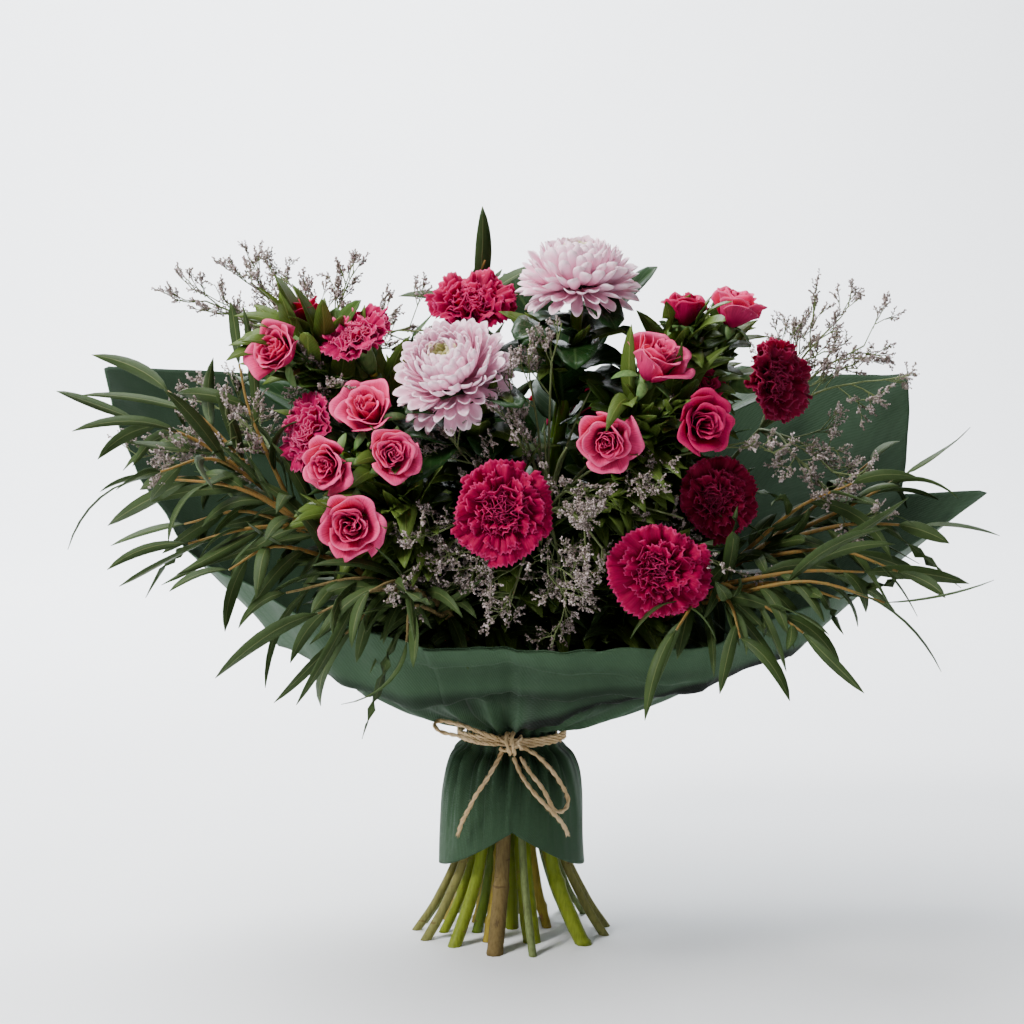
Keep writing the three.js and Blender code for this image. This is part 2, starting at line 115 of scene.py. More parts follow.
class Shader:
    """One procedural material round a Principled BSDF."""

    def __init__(self, name, **constants):
        self.material = bpy.data.materials.new(name)
        self.material.use_nodes = True
        self.tree = self.material.node_tree
        self.surface = self.tree.nodes["Principled BSDF"]
        self.surface.inputs["Specular IOR Level"].default_value = MATT
        for socket, value in constants.items():
            self.surface.inputs[socket.replace("_", " ").title().replace("Ior", "IOR")].default_value = value

    def node(self, kind, settings=None, inputs=None, out=0):
        made = self.tree.nodes.new(kind)
        for key, value in (settings or {}).items():
            if key == "stops":
                for k, (place, colour) in enumerate(value):
                    stops = made.color_ramp.elements
                    stop = stops[k] if k < 2 else stops.new(place)
                    stop.position = place
                    stop.color = (*colour, 1) if len(colour) == 3 else colour
            else:
                setattr(made, key, value)
        for key, value in (inputs or {}).items():
            self.feed(made.inputs[key], value)
        return Socket(self, made.outputs[out])

    def feed(self, socket, value):
        if isinstance(value, Socket):
            self.tree.links.new(value.link, socket)
        else:
            socket.default_value = value

    def place(self, scale=(1, 1, 1)):
        at = self.node("ShaderNodeTexCoord", out="Object")
        return self.node("ShaderNodeMapping", None, {"Vector": at, "Scale": scale})

    def unwrapped(self):
        return self.node("ShaderNodeUVMap", {"uv_map": "UVMap"})

    def split(self, vector, axis):
        return self.node("ShaderNodeSeparateXYZ", None, {"Vector": vector}, axis)

    def noise(self, vector, scale, detail=3, rough=0.55):
        inputs = {"Vector": vector, "Scale": scale, "Detail": detail, "Roughness": rough}
        return self.node("ShaderNodeTexNoise", None, inputs, "Fac")

    def ramp(self, value, *stops):
        return self.node("ShaderNodeValToRGB", {"stops": stops}, {"Fac": value}, "Color")

    def between(self, value, low, high):
        """0 below low, 1 above high, and smooth from one to the other."""
        settings = {"interpolation_type": "SMOOTHSTEP", "clamp": True}
        return self.node("ShaderNodeMapRange", settings, {"Value": value, "From Min": low, "From Max": high})

    def mix(self, share, first, second, blend="MIX"):
        made = self.tree.nodes.new("ShaderNodeMix")
        made.data_type = "RGBA"
        made.blend_type = blend
        sockets = {s.identifier: s for s in made.inputs}
        for key, value in (("Factor_Float", share), ("A_Color", first), ("B_Color", second)):
            if not isinstance(value, Socket) and key != "Factor_Float":
                value = (*value, 1) if len(value) == 3 else value
            self.feed(sockets[key], value)
        return Socket(self, next(s for s in made.outputs if s.identifier == "Result_Color"))

    def bump(self, height, strength, distance):
        inputs = {"Height": height, "Strength": strength, "Distance": distance}
        self.feed(self.surface.inputs["Normal"], self.node("ShaderNodeBump", None, inputs))

    def paint(self, colour, roughness=None):
        self.feed(self.surface.inputs["Base Color"], colour)
        if roughness is not None:
            self.feed(self.surface.inputs["Roughness"], roughness)
        return self.material


def show(name, mesh, *materials):
    """Puts a mesh into the scene as a piece, at the origin."""
    piece = bpy.data.objects.new(name, mesh)
    bpy.context.scene.collection.objects.link(piece)
    for material in materials:
        mesh.materials.append(material)
    mesh.shade_smooth()
    return piece


# The sweep: a floor that turns up into a wall behind the bunch, pale and plain.
SWEEP_FRONT, SWEEP_BACK, SWEEP_TURN, SWEEP_WIDE, SWEEP_HIGH = -4, 1.6, 0.8, 12, 4

sweep_form = bmesh.new()
profile = [(SWEEP_FRONT, 0)]
for k in range(17):
    turn = k / 16 * math.pi / 2
    profile.append((SWEEP_BACK + SWEEP_TURN * math.sin(turn), SWEEP_TURN * (1 - math.cos(turn))))
profile.append((SWEEP_BACK + SWEEP_TURN, SWEEP_HIGH))
corners = [sweep_form.verts.new((-SWEEP_WIDE / 2, y, z)) for y, z in profile]
edges = [sweep_form.edges.new(pair) for pair in zip(corners, corners[1:])]
swept = bmesh.ops.extrude_edge_only(sweep_form, edges=edges)["geom"]
across = [part for part in swept if isinstance(part, bmesh.types.BMVert)]
bmesh.ops.translate(sweep_form, verts=across, vec=(SWEEP_WIDE, 0, 0))
bmesh.ops.recalc_face_normals(sweep_form, faces=sweep_form.faces)
sweep_mesh = bpy.data.meshes.new("studio_sweep")
sweep_form.to_mesh(sweep_mesh)
sweep_form.free()
paper = Shader("studio_paper", roughness=0.9)
grain = paper.noise(paper.place(), 3, 2)
paper.paint(paper.ramp(grain, (0.3, (0.87, 0.88, 0.9)), (0.7, (0.89, 0.9, 0.915))))
show("studio_sweep", sweep_mesh, paper.material)


# ------------------------------------------------------------------ the stems
# Fresh cut stems, gathered in a spiral and tied. Each follows the middle of its CAD bar.
# Carnation stems have swollen joints and the willow stem is woody.

CUT = 0.00001  # a vertex no higher than this belongs to the cut end


def centre_line(node, top=1.0):
    """The middle and radius of each ring of a CAD bar, from its cut end up to height top."""
    form = bmesh.new()
    form.from_mesh(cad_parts[node].data)
    bmesh.ops.remove_doubles(form, verts=form.verts, dist=CUT)
    ring = [vert for vert in form.verts if vert.co.z < CUT]
    seen = set(ring)
    line = []
    while ring:
        middle = sum((vert.co for vert in ring), Vector()) / len(ring)
        if middle.z > top:
            break
        line.append((middle, sum((vert.co - middle).length for vert in ring) / len(ring)))
        nearby = dict.fromkeys(edge.other_vert(vert) for vert in ring for edge in vert.link_edges)
        ring = [vert for vert in nearby if vert not in seen]
        seen.update(ring)
    form.free()
    return line


def smooth_line(points, count):
    """Count points along a smooth curve through all the given ones."""
    points = [Vector(point) for point in points]
    padded = [2 * points[0] - points[1], *points, 2 * points[-1] - points[-2]]
    spans = [(b - a).length for a, b in zip(points, points[1:])]
    line = []
    for k in range(count):
        left = k / (count - 1) * sum(spans)
        i = 0
        while i < len(spans) - 1 and left > spans[i]:
            left -= spans[i]
            i += 1
        a, b, c, d = padded[i:i + 4]
        t = min(left / spans[i], 1)
        line.append(b + 0.5 * t * (c - a + t * (2 * a - 5 * b + 4 * c - d + t * (3 * (b - c) + d - a))))
    return line


class Canes:
    """Round bars of changing thickness, made as one curve and turned into a mesh."""

    def __init__(self, name, round_off=2):
        self.curve = bpy.data.curves.new(name, "CURVE")
        self.curve.dimensions = "3D"
        self.curve.bevel_depth = 1
        self.curve.bevel_resolution = round_off
        self.curve.use_fill_caps = True

    def add(self, points, radii):
        spline = self.curve.splines.new("POLY")
        spline.points.add(len(points) - 1)
        for spot, point, radius in zip(spline.points, points, radii):
            spot.co = (*point, 1)
            spot.radius = radius

    def mesh(self):
        holder = bpy.data.objects.new("canes", self.curve)
        bpy.context.scene.collection.objects.link(holder)
        evaluated = holder.evaluated_get(bpy.context.evaluated_depsgraph_get())
        mesh = bpy.data.meshes.new_from_object(evaluated)
        bpy.data.objects.remove(holder)
        bpy.data.curves.remove(self.curve)
        return mesh


def stem_skin(name, young, old, scar, roughness=0.42):
    """Stem colour: `young` above, `old` low down, with long streaks and brown scars."""
    skin = Shader(name, roughness=roughness)
    streak = skin.noise(skin.place((700, 700, 12)), 1, 4)
    blotch = skin.noise(skin.place((90, 90, 40)), 1, 5, 0.65)
    height = skin.between(skin.split(skin.place(), 2), 0.0, 0.16)
    green = skin.mix(height, old, young)
    green = skin.mix(skin.between(streak, 0.35, 0.75) * 0.75, green, [c * 0.55 for c in old])
    ring = skin.noise(skin.place((60, 60, 420)), 1, 2)
    green = skin.mix(skin.between(ring, 0.66, 0.72) * 0.6, green, scar)
    skin.bump(streak * 0.5 + blotch * 0.5, 0.35, 0.0006)
    return skin.paint(skin.mix(skin.between(blotch, 0.6, 0.74) * 0.8, green, scar))


STEM_SKINS = {
    "fresh": stem_skin("stem_fresh", (0.09, 0.17, 0.01), (0.2, 0.25, 0.022), (0.17, 0.08, 0.025)),
    "deep": stem_skin("stem_deep", (0.05, 0.11, 0.01), (0.11, 0.17, 0.018), (0.13, 0.06, 0.025)),
    "straw": stem_skin("stem_straw", (0.24, 0.23, 0.025), (0.36, 0.27, 0.04), (0.2, 0.085, 0.03)),
    "woody": stem_skin("stem_woody", (0.2, 0.15, 0.06), (0.17, 0.12, 0.045), (0.05, 0.03, 0.016), 0.8),
}
pith = Shader("stem_pith", roughness=0.7)
rings = pith.noise(pith.place(), 900, 3)
PITH = pith.paint(pith.ramp(rings, (0.3, (0.45, 0.5, 0.24)), (0.7, (0.66, 0.66, 0.42))))

JOINT_EVERY = 0.041  # between the swollen joints of a carnation stem
JOINT_ABOVE, JOINT_BELOW = 0.0016, 0.0034  # how far a joint's swelling reaches
RIPPLE = 0.035  # how far a stem's thickness wanders, as a share
FOOT_SPARE = 0.008  # how far a stem is made past the table, before its foot is cut off


def grow_stem(canes, line, swell, seed, taper=0.85, detail=150):
    """One stem along a CAD centre line. swell is how proud its joints stand, as a share."""
    below = line[0][0] - (line[1][0] - line[0][0]).normalized() * FOOT_SPARE
    points = smooth_line([below, *(middle for middle, _ in line)], detail)
    thick = line[0][1]
    radii = []
    run = 0
    for k, point in enumerate(points):
        run += (point - points[k - 1]).length if k else 0
        share = k / (detail - 1)
        from_joint = (run + 0.013 * seed) % JOINT_EVERY - JOINT_EVERY / 2
        joint = swell * math.exp(-((from_joint / (JOINT_ABOVE if from_joint > 0 else JOINT_BELOW)) ** 2))
        wander = RIPPLE * noise.noise(Vector((seed, 0, run * 60)))
        radii.append(thick * (1 + joint + wander - (1 - taper) * share))
    canes.add(points, radii)
    return points


def stand(mesh, slot):
    """Cuts a stem's foot off level with the table and gives the cut the colour of its inside."""
    form = bmesh.new()
    form.from_mesh(mesh)
    parts = [*form.verts, *form.edges, *form.faces]
    table = {"plane_co": (0, 0, 0), "plane_no": (0, 0, -1)}
    bmesh.ops.bisect_plane(form, geom=parts, clear_outer=True, **table)
    rims = [edge for edge in form.edges if edge.is_boundary]
    for face in bmesh.ops.edgeloop_fill(form, edges=rims)["faces"]:
        face.material_index = slot
        face.smooth = False
    bmesh.ops.recalc_face_normals(form, faces=form.faces)
    form.to_mesh(mesh)
    form.free()


# Each single stem: its skin, how proud its joints are, and its node.
SINGLE_STEMS = {
    "carnation_front": ("straw", 0.32), "carnation_front_right": ("fresh", 0.2),
    "carnation_right": ("deep", 0.28), "carnation_far_right": ("straw", 0.3),
    "carnation_top": ("fresh", 0.3), "carnation_left": ("fresh", 0.26),
    "carnation_upper_left": ("straw", 0.3), "carnation_back": ("fresh", 0.3),
    "chrysanthemum_left": ("deep", 0.05), "chrysanthemum_top": ("fresh", 0.05),
}
stem_tops = {}
for seed, (flower, (skin, swell)) in enumerate(SINGLE_STEMS.items()):
    canes = Canes(flower)
    stem_tops[flower] = grow_stem(canes, centre_line(flower + "_stem"), swell, seed)
    mesh = canes.mesh()
    stem = show(flower + "_cane", mesh, STEM_SKINS[skin], PITH)
    stand(mesh, 1)
    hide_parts(flower + "_stem")
    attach(stem, "root")


# ------------------------------------------------------------------ the carnations
# A bloom is forty-seven fan-shaped petals in a green tubular calyx. Each petal is narrow at
# its claw, ruffled and toothed along its edge, and the edge is paler than the blade.

def seat(node, facing):
    """The matrix that sets a flower, made along +Z from its base, where a CAD head is."""
    face = Vector(facing).normalized()
    corners = [vert.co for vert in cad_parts[node].data.vertices]
    lowest = min(corner.dot(face) for corner in corners)
    base = [corner for corner in corners if corner.dot(face) < lowest + 0.0004]
    middle = sum(base, Vector()) / len(base)
    return Matrix.Translation(middle) @ face.to_track_quat("Z", "Y").to_matrix().to_4x4()


def span(node, facing):
    """The radius of a CAD head across the way it faces."""
    place = seat(node, facing).inverted()
    return max((place @ vert.co).xy.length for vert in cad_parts[node].data.vertices)


def shape_of(small):
    """The corners, faces and face UVs of a small bmesh, which is freed."""
    layer = small.loops.layers.uv.active
    small.verts.index_update()
    spots = [vert.co.copy() for vert in small.verts]
    faces = [[vert.index for vert in face.verts] for face in small.faces]
    corners = [tuple(loop[layer].uv) if layer else (0, 0) for face in small.faces for loop in face.loops]
    small.free()
    return spots, faces, corners


class Form:
    """A mesh built up from many copies of small shapes, each bent into its own petal or leaf."""

    def __init__(self):
        self.spots, self.faces, self.corners, self.slots = [], [], [], []

    def add(self, shape, place, slot=0):
        first = len(self.spots)
        spots, faces, corners = shape
        self.spots.extend(place(spot) for spot in spots)
        self.faces.extend([first + k for k in face] for face in faces)
        self.corners.extend(corners)
        self.slots.extend([slot] * len(faces))

    def turn(self, matrix, first=0):
        self.spots[first:] = [matrix @ spot for spot in self.spots[first:]]

    def mesh(self, name):
        mesh = bpy.data.meshes.new(name)
        mesh.from_pydata(self.spots, [], self.faces)
        layer = mesh.uv_layers.new(name="UVMap")
        layer.data.foreach_set("uv", [c for corner in self.corners for c in corner])
        mesh.polygons.foreach_set("material_index", self.slots)
        return mesh


GRIDS = {}


def petal(form, across, along, place, slot=0):
    """A petal or leaf: a grid set by place(u, t), u from -1 to 1 across, t from 0 at its base to 1."""
    if (across, along) not in GRIDS:
        small = bmesh.new()
        small.loops.layers.uv.new("UVMap")
        bmesh.ops.create_grid(small, x_segments=across, y_segments=along, size=0.5, calc_uvs=True)
        GRIDS[across, along] = shape_of(small)
    grid = GRIDS[across, along]
    form.add(grid, lambda spot: place(2 * spot.x, min(max(spot.y + 0.5, 0), 1)), slot)


def bend(length, start, end, power=1.0, steps=24):
    """A petal's spine: radius, height and tilt at each share t of its length."""
    table = [(0.0, 0.0, start)]
    for k in range(steps):
        tilt = start + (end - start) * ((k + 0.5) / steps) ** power
        r, h, _ = table[-1]
        table.append((r + length / steps * math.sin(tilt), h + length / steps * math.cos(tilt), tilt))

    def at(t):
        i = min(int(t * steps), steps - 1)
        f = t * steps - i
        return tuple(a + (b - a) * f for a, b in zip(table[i], table[i + 1]))

    return at


def finished(name, form, *materials, thick=0.0003):
    """Turns a form into a piece and gives its petals or leaves their thickness."""
    piece = show(name, form.mesh(name), *materials)
    if thick:
        wall = piece.modifiers.new("thickness", "SOLIDIFY")
        wall.thickness = thick
        wall.offset = 0
    return piece


CALYX_HIGH, CALYX_WIDE, CALYX_FOOT = 0.021, 0.0062, 0.0032  # height, and radius above and at its foot
CLAW_SUNK = 0.003  # how far a petal's foot stands below the calyx's rim
ANY_TURN = 6.3  # the end of a random start round a circle
# Rings of petals from the outside in: how many, their tilt at the edge, length, width, how far
# from the axis they start and how deep their ruffles are.
CARNATION_RINGS = [
    (5, 104, 0.036, 0.037, 0.004, 0.0022), (6, 91, 0.0335, 0.033, 0.004, 0.003),
    (7, 75, 0.0295, 0.03, 0.0035, 0.0038), (7, 58, 0.0265, 0.028, 0.003, 0.0044),
    (7, 41, 0.025, 0.026, 0.002, 0.0048), (6, 24, 0.024, 0.023, 0.001, 0.0046),
    (5, 9, 0.0235, 0.02, 0, 0.004), (4, -5, 0.023, 0.017, -0.001, 0.003),
]
CARNATION_TEETH = 13  # along half of a petal's edge


def carnation_petal(form, turn, ring, size, rng):
    _, tilt, length, width, claw, ruffle = ring
    tilt = math.radians(tilt + rng.uniform(-13, 11))
    length *= size * rng.uniform(0.86, 1.03)
    spine = bend(length, 0.1, tilt, 1.2)
    waves = rng.uniform(1.2, 2.0)
    phase, second = rng.uniform(0, ANY_TURN), rng.uniform(0, ANY_TURN)
    ruffle *= rng.uniform(0.8, 1.2) * size
    sideways, cup = rng.uniform(-0.2, 0.2), rng.uniform(-0.002, 0.004)
    notch = [rng.uniform(0.1, 1) for _ in range(2 * CARNATION_TEETH + 1)]
    out = Vector((math.cos(turn), math.sin(turn), 0))
    side = Vector((-math.sin(turn), math.cos(turn), 0))

    def place(u, t):
        column = round((u + 1) * CARNATION_TEETH)
        tooth = (0.5 if column % 2 else -0.5) * notch[column]
        reach = t * (1 - 0.16 * u * u * t) + 0.075 * tooth * t ** 8
        r, h, slope = spine(min(reach, 1))
        r += max(reach - 1, 0) * length * math.sin(slope)
        h += max(reach - 1, 0) * length * math.cos(slope)
        fan = 0.12 + 0.88 * min(t / 0.94, 1) ** 1.3
        swing = math.sin(waves * math.pi * u + phase)
        swing += 0.4 * math.sin(3.1 * waves * math.pi * u + second)
        swing += 0.35 * math.sin(5 * t + second) * u
        push = ruffle * swing * max(t - 0.25, 0) ** 1.3 * 1.7 - cup * size * u * u * t
        normal = out * math.cos(slope) - Vector((0, 0, math.sin(slope)))
        across = u * width * size / 2 * fan + sideways * r * t
        rise = Vector((0, 0, CALYX_HIGH * size - CLAW_SUNK + h))
        return out * (claw * size + r) + side * across + rise + normal * push

    petal(form, 2 * CARNATION_TEETH, 8, place)


def calyx(form, size, slot):
    """The green tube that holds the petals, swollen in the middle, with five pointed teeth."""
    small = bmesh.new()
    ring = bmesh.ops.create_circle(small, segments=20, radius=1)["verts"]
    edges = dict.fromkeys(edge for vert in ring for edge in vert.link_edges)
    for _ in range(6):
        made = bmesh.ops.extrude_edge_only(small, edges=list(edges))["geom"]
        raised = [part for part in made if isinstance(part, bmesh.types.BMVert)]
        bmesh.ops.translate(small, verts=raised, vec=(0, 0, 1 / 6))
        edges = [part for part in made if isinstance(part, bmesh.types.BMEdge)]

    def place(spot):
        high = spot.z * CALYX_HIGH * size
        turn = math.atan2(spot.y, spot.x)
        bulge = 0.0008 * math.sin(math.pi * spot.z)
        r = (CALYX_FOOT + (CALYX_WIDE - CALYX_FOOT) * spot.z ** 0.5 + bulge) * size
        if spot.z > 0.99:
            high += (0.0045 * abs(math.cos(2.5 * turn)) ** 1.5 - 0.001) * size
            r *= 1.06
        return Vector((r * math.cos(turn), r * math.sin(turn), high))

    form.add(shape_of(small), place, slot)


def petal_skin(name, deep, body, edge, rim, pale=0.65):
    """Petal colour: deep near the claw, fine veins along the blade, and a paler edge."""
    skin = Shader(name, roughness=0.6)
    uv = skin.unwrapped()
    along = skin.split(uv, 1)
    stretched = skin.node("ShaderNodeMapping", None, {"Vector": uv, "Scale": (46, 2.2, 1)})
    vein = skin.noise(stretched, 1, 3)
    cloud = skin.noise(skin.place(), 60, 3)
    colour = skin.mix(skin.between(along, 0.3, 0.95), deep, body)
    colour = skin.mix(skin.between(vein, 0.35, 0.75) * 0.4, colour, [c * 0.5 for c in deep])
    colour = skin.mix(skin.between(cloud, 0.5, 0.75) * 0.25, colour, [min(c * 1.35, 0.9) for c in body])
    colour = skin.mix(skin.between(along + (vein - 0.5) * 0.03, *rim) * pale, colour, edge)
    skin.bump(vein, 0.3, 0.0004)
    skin.surface.inputs["Specular IOR Level"].default_value = 0.07
    skin.surface.inputs["Subsurface Weight"].default_value = 0.1
    skin.surface.inputs["Subsurface Radius"].default_value = (0.004, 0.001, 0.001)
    skin.surface.inputs["Subsurface Scale"].default_value = 1
    return skin.paint(colour)


EDGED = (0.955, 1.0)  # how far along a petal its pale edge starts, and where it is full
CRIMSON = petal_skin("carnation_crimson", (0.05, 0, 0.006), (0.34, 0, 0.05), (0.6, 0.04, 0.18), EDGED, 0.6)
CHERRY = petal_skin("carnation_cherry", (0.1, 0, 0.014), (0.44, 0.003, 0.085), (0.75, 0.13, 0.29), EDGED)
WINE = petal_skin("carnation_wine", (0.025, 0, 0.004), (0.17, 0, 0.022), (0.38, 0.035, 0.11), EDGED, 0.55)
calyx_skin = Shader("calyx_green", roughness=0.5)
stripe = calyx_skin.noise(calyx_skin.place((500, 500, 60)), 1, 3)
CALYX_GREEN = calyx_skin.paint(calyx_skin.ramp(stripe, (0.3, (0.06, 0.14, 0.04)), (0.75, (0.17, 0.27, 0.09))))

# Each bloom: the way it faces, and its colour.
CARNATIONS = {
    "carnation_front": ((-0.05, -1, 0.15), CRIMSON),
    "carnation_front_right": ((-0.1, -1, 0), CRIMSON),
    "carnation_right": ((0.25, -0.95, 0.15), WINE),
    "carnation_far_right": ((0.7, -0.68, 0.15), WINE),
    "carnation_top": ((0.05, -0.55, 0.85), CRIMSON),
    "carnation_left": ((-0.75, -0.5, 0.35), CHERRY),
    "carnation_upper_left": ((-0.3, -0.5, 0.8), CHERRY),
    "carnation_back": ((0.2, 0.8, 0.6), CRIMSON),
}
CARNATION_SIZE = 0.031  # the radius that the rings above are sized for

for seed, (flower, (facing, tone)) in enumerate(CARNATIONS.items()):
    rng = random.Random(40 + seed)
    size = span(flower + "_head", facing) / CARNATION_SIZE
    form = Form()
    calyx(form, size, 1)
    for ring in CARNATION_RINGS:
        first = rng.uniform(0, ANY_TURN)
        for k in range(ring[0]):
            turn = first + (k + rng.uniform(-0.18, 0.18)) * 2 * math.pi / ring[0]
            carnation_petal(form, turn, ring, size, rng)
    form.turn(seat(flower + "_head", facing))
    bloom = finished(flower + "_bloom", form, tone, CALYX_GREEN)
    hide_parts(flower + "_head")
    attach(bloom, "root")


# ------------------------------------------------------------------ the roses
# Spray roses: cupped petals in a spiral round a tight heart, the outer ones rolled back, on a
# green hip with five sepals. Each branched stem carries two to four of them.

GOLDEN_TURN = 2.4  # radians from one petal or leaf to the next

def rose_petal(form, turn, rank, radius, rng, slot):
    """rank runs from 0 for the outermost petal to 1 for the heart."""
    start = math.radians(60 - 46 * rank)
    middle = math.radians(30 - 36 * rank ** 0.6 + rng.uniform(-9, 9))
    rim = math.radians(112 - 104 * rank ** 0.5 + rng.uniform(-24, 24))
    length = radius * (1.42 - 0.22 * rank) * rng.uniform(0.9, 1.05)
    steps, table = 20, []
    r, h = radius * (0.1 - 0.08 * rank), radius * 0.3
    for k in range(steps + 1):
        t = k / steps
        low, high = min(t / 0.45, 1), max((t - 0.62) / 0.38, 0)
        tilt = start + (middle - start) * low + (rim - middle) * high ** 1.4
        table.append((r, h, tilt))
        r += length / steps * math.sin(tilt)
        h += length / steps * math.cos(tilt)
    spread = 0.85 + 0.6 * rank
    phase, point = rng.uniform(0, ANY_TURN), rng.uniform(-0.4, 0.4)
    lean = rng.uniform(-0.12, 0.12)
    wave = radius * rng.uniform(0.03, 0.075)

    def place(u, t):
        reach = t * (1 - 0.24 * abs(u) ** 3 + 0.05 * math.exp(-(((u - point) / 0.2) ** 2))) / 1.05
        i = min(int(reach * steps), steps - 1)
        f = reach * steps - i
        r, h, tilt = (a + (b - a) * f for a, b in zip(table[i], table[i + 1]))
        fan = 0.3 + 0.7 * math.sin(min(t / 0.7, 1) * math.pi / 2)
        around = turn + u * spread * fan
        r += radius * (0.06 * rank * u + 0.16 * (1 - rank) * (abs(u) * t) ** 3 + lean * u * t)
        r += wave * (1 - 0.4 * rank) * t * t * math.sin(5 * u + phase)
        h += radius * (0.06 * math.sin(3.5 * u + 2 * phase) * t * t - 0.1 * (abs(u) * t) ** 3 * (1 - rank))
        r = max(r, radius * 0.012)
        return Vector((r * math.cos(around), r * math.sin(around), h))

    petal(form, 14, 10, place, slot)


# The collar's form, which leaves bend along: the waist's height, half its length and its radius.
TIE_Z, WAIST_HALF, WRAP_R = 0.124, 0.007, 0.0279
LEAF_CLEAR = 0.007  # how far inside the collar a leaf stays
RIM = [  # degrees from the front towards +X, radius, height
    (-210, 0.176, 0.318), (-180, 0.15, 0.312), (-150, 0.176, 0.32), (-127.5, 0.222, 0.334),
    (-105, 0.262, 0.341), (-97.5, 0.246, 0.318), (-90, 0.222, 0.28), (-82.5, 0.205, 0.262),
    (-67.5, 0.19, 0.238), (-45, 0.155, 0.216), (-22.5, 0.124, 0.203), (0, 0.112, 0.199),
    (22.5, 0.12, 0.199), (45, 0.152, 0.204), (60, 0.192, 0.222), (75, 0.25, 0.256),
    (82.5, 0.281, 0.277), (90, 0.232, 0.27), (97.5, 0.244, 0.3), (105, 0.257, 0.334),
    (127.5, 0.216, 0.328), (150, 0.176, 0.318), (180, 0.15, 0.312), (210, 0.176, 0.32),
]


def rim_at(angle):
    """The radius and height of the wrap's rim at an angle."""
    i = max(1, next(k for k, row in enumerate(RIM) if row[0] >= angle - 1e-6))
    (a0, r0, z0), (a1, r1, z1) = RIM[i - 1], RIM[i]
    t = (angle - a0) / (a1 - a0)
    return r0 + (r1 - r0) * t, z0 + (z1 - z0) * t


def collar(spot):
    """The wrap's radius at a spot's angle and height, or None above its rim and below its waist."""
    angle = math.degrees(math.atan2(spot.x, -spot.y))
    rim_r, rim_z = rim_at(angle)
    foot = TIE_Z + WAIST_HALF
    if not foot < spot.z < rim_z:
        return None
    t = (spot.z - foot) / (rim_z - foot)
    t += 0.02 * abs(math.sin(math.radians(angle))) * math.sin(math.pi * t) / (rim_z - foot)
    return WRAP_R + (rim_r - WRAP_R) * min(t, 1)


def held(spot, inside):
    """A leaf that grows inside the collar bends along it and doesn't pass through it."""
    r = collar(spot) if inside else None
    out = math.hypot(spot.x, spot.y)
    if r is None or out < r - LEAF_CLEAR:
        return spot
    share = (r - LEAF_CLEAR) / max(out, 0.001)
    return Vector((spot.x * share, spot.y * share, spot.z))


def blade(form, root, way, face, length, width, droop, slot=0, grid=(2, 8), *,
          fold=0.3, blunt=0.8, curl=0, wave=0):
    """A leaf from root, setting out along way with its upper side to face, and drooping."""
    way, step = Vector(way).normalized(), length / grid[1]
    spine = []
    spot, heading = Vector(root), way
    edge = collar(spot)
    inside = edge is not None and spot.xy.length < edge
    for k in range(grid[1] + 1):
        side = heading.cross(face)
        side = side.normalized() if side.length > 0.05 else heading.orthogonal().normalized()
        spine.append((spot.copy(), side, side.cross(heading)))
        spot = held(spot + heading * step, inside)
        heading = (heading + Vector((0, 0, -droop / grid[1])) + curl / grid[1] * spine[-1][2]).normalized()

    def place(u, t):
        k = round(t * grid[1])
        middle, side, top = spine[k]
        half = width / 2 * max((4 * t * (1 - t)) ** blunt * (1.15 - 0.3 * t), 0.03)
        lift = abs(u) * fold + wave * math.sin(9 * t + 2 * u) * abs(u)
        return held(middle + side * (u * half) + top * (half * lift), inside)

    return petal(form, *grid, place, slot)


def sepals(form, radius, slot, rng):
    """The hip under a rose and its five narrow sepals, turned down."""
    small = bmesh.new()
    bmesh.ops.create_uvsphere(small, u_segments=12, v_segments=7, radius=1)
    wide, high = radius * 0.27, radius * 0.22
    hip = shape_of(small)
    form.add(hip, lambda spot: Vector((spot.x * wide, spot.y * wide, radius * 0.2 + spot.z * high)), slot)
    first = rng.uniform(0, 6)
    for k in range(5):
        turn = first + k * 2 * math.pi / 5
        out = Vector((math.cos(turn), math.sin(turn), 0))
        blade(form, out * radius * 0.2 + Vector((0, 0, radius * 0.32)), out + Vector((0, 0, 0.1)),
              Vector((0, 0, 1)), radius * 0.85, radius * 0.3, rng.uniform(0.5, 1.6), slot)


def rose(form, radius, matrix, rng, petals=27):
    """A rose set by matrix: outer petals in slot 0, heart petals in 1, hip and sepals in 2."""
    first = len(form.spots)
    turn = rng.uniform(0, 6)
    for k in range(petals):
        rank = (k / (petals - 1)) ** 0.85
        turn += GOLDEN_TURN + rng.uniform(-0.12, 0.12)
        rose_petal(form, turn, rank, radius, rng, 0 if rank < 0.42 else 1)
    sepals(form, radius, 2, rng)
    form.turn(matrix, first)


PALE = (0.9, 1.0)
ROSE_OUTER = petal_skin("rose_outer", (0.46, 0.005, 0.085), (0.8, 0.055, 0.2), (0.88, 0.18, 0.35), PALE, 0.4)
ROSE_HEART = petal_skin("rose_heart", (0.28, 0.001, 0.045), (0.68, 0.02, 0.14), (0.84, 0.12, 0.27), PALE, 0.4)
ROSE_DEEP = petal_skin("rose_deep", (0.18, 0, 0.026), (0.5, 0.006, 0.09), (0.7, 0.06, 0.19), PALE, 0.35)


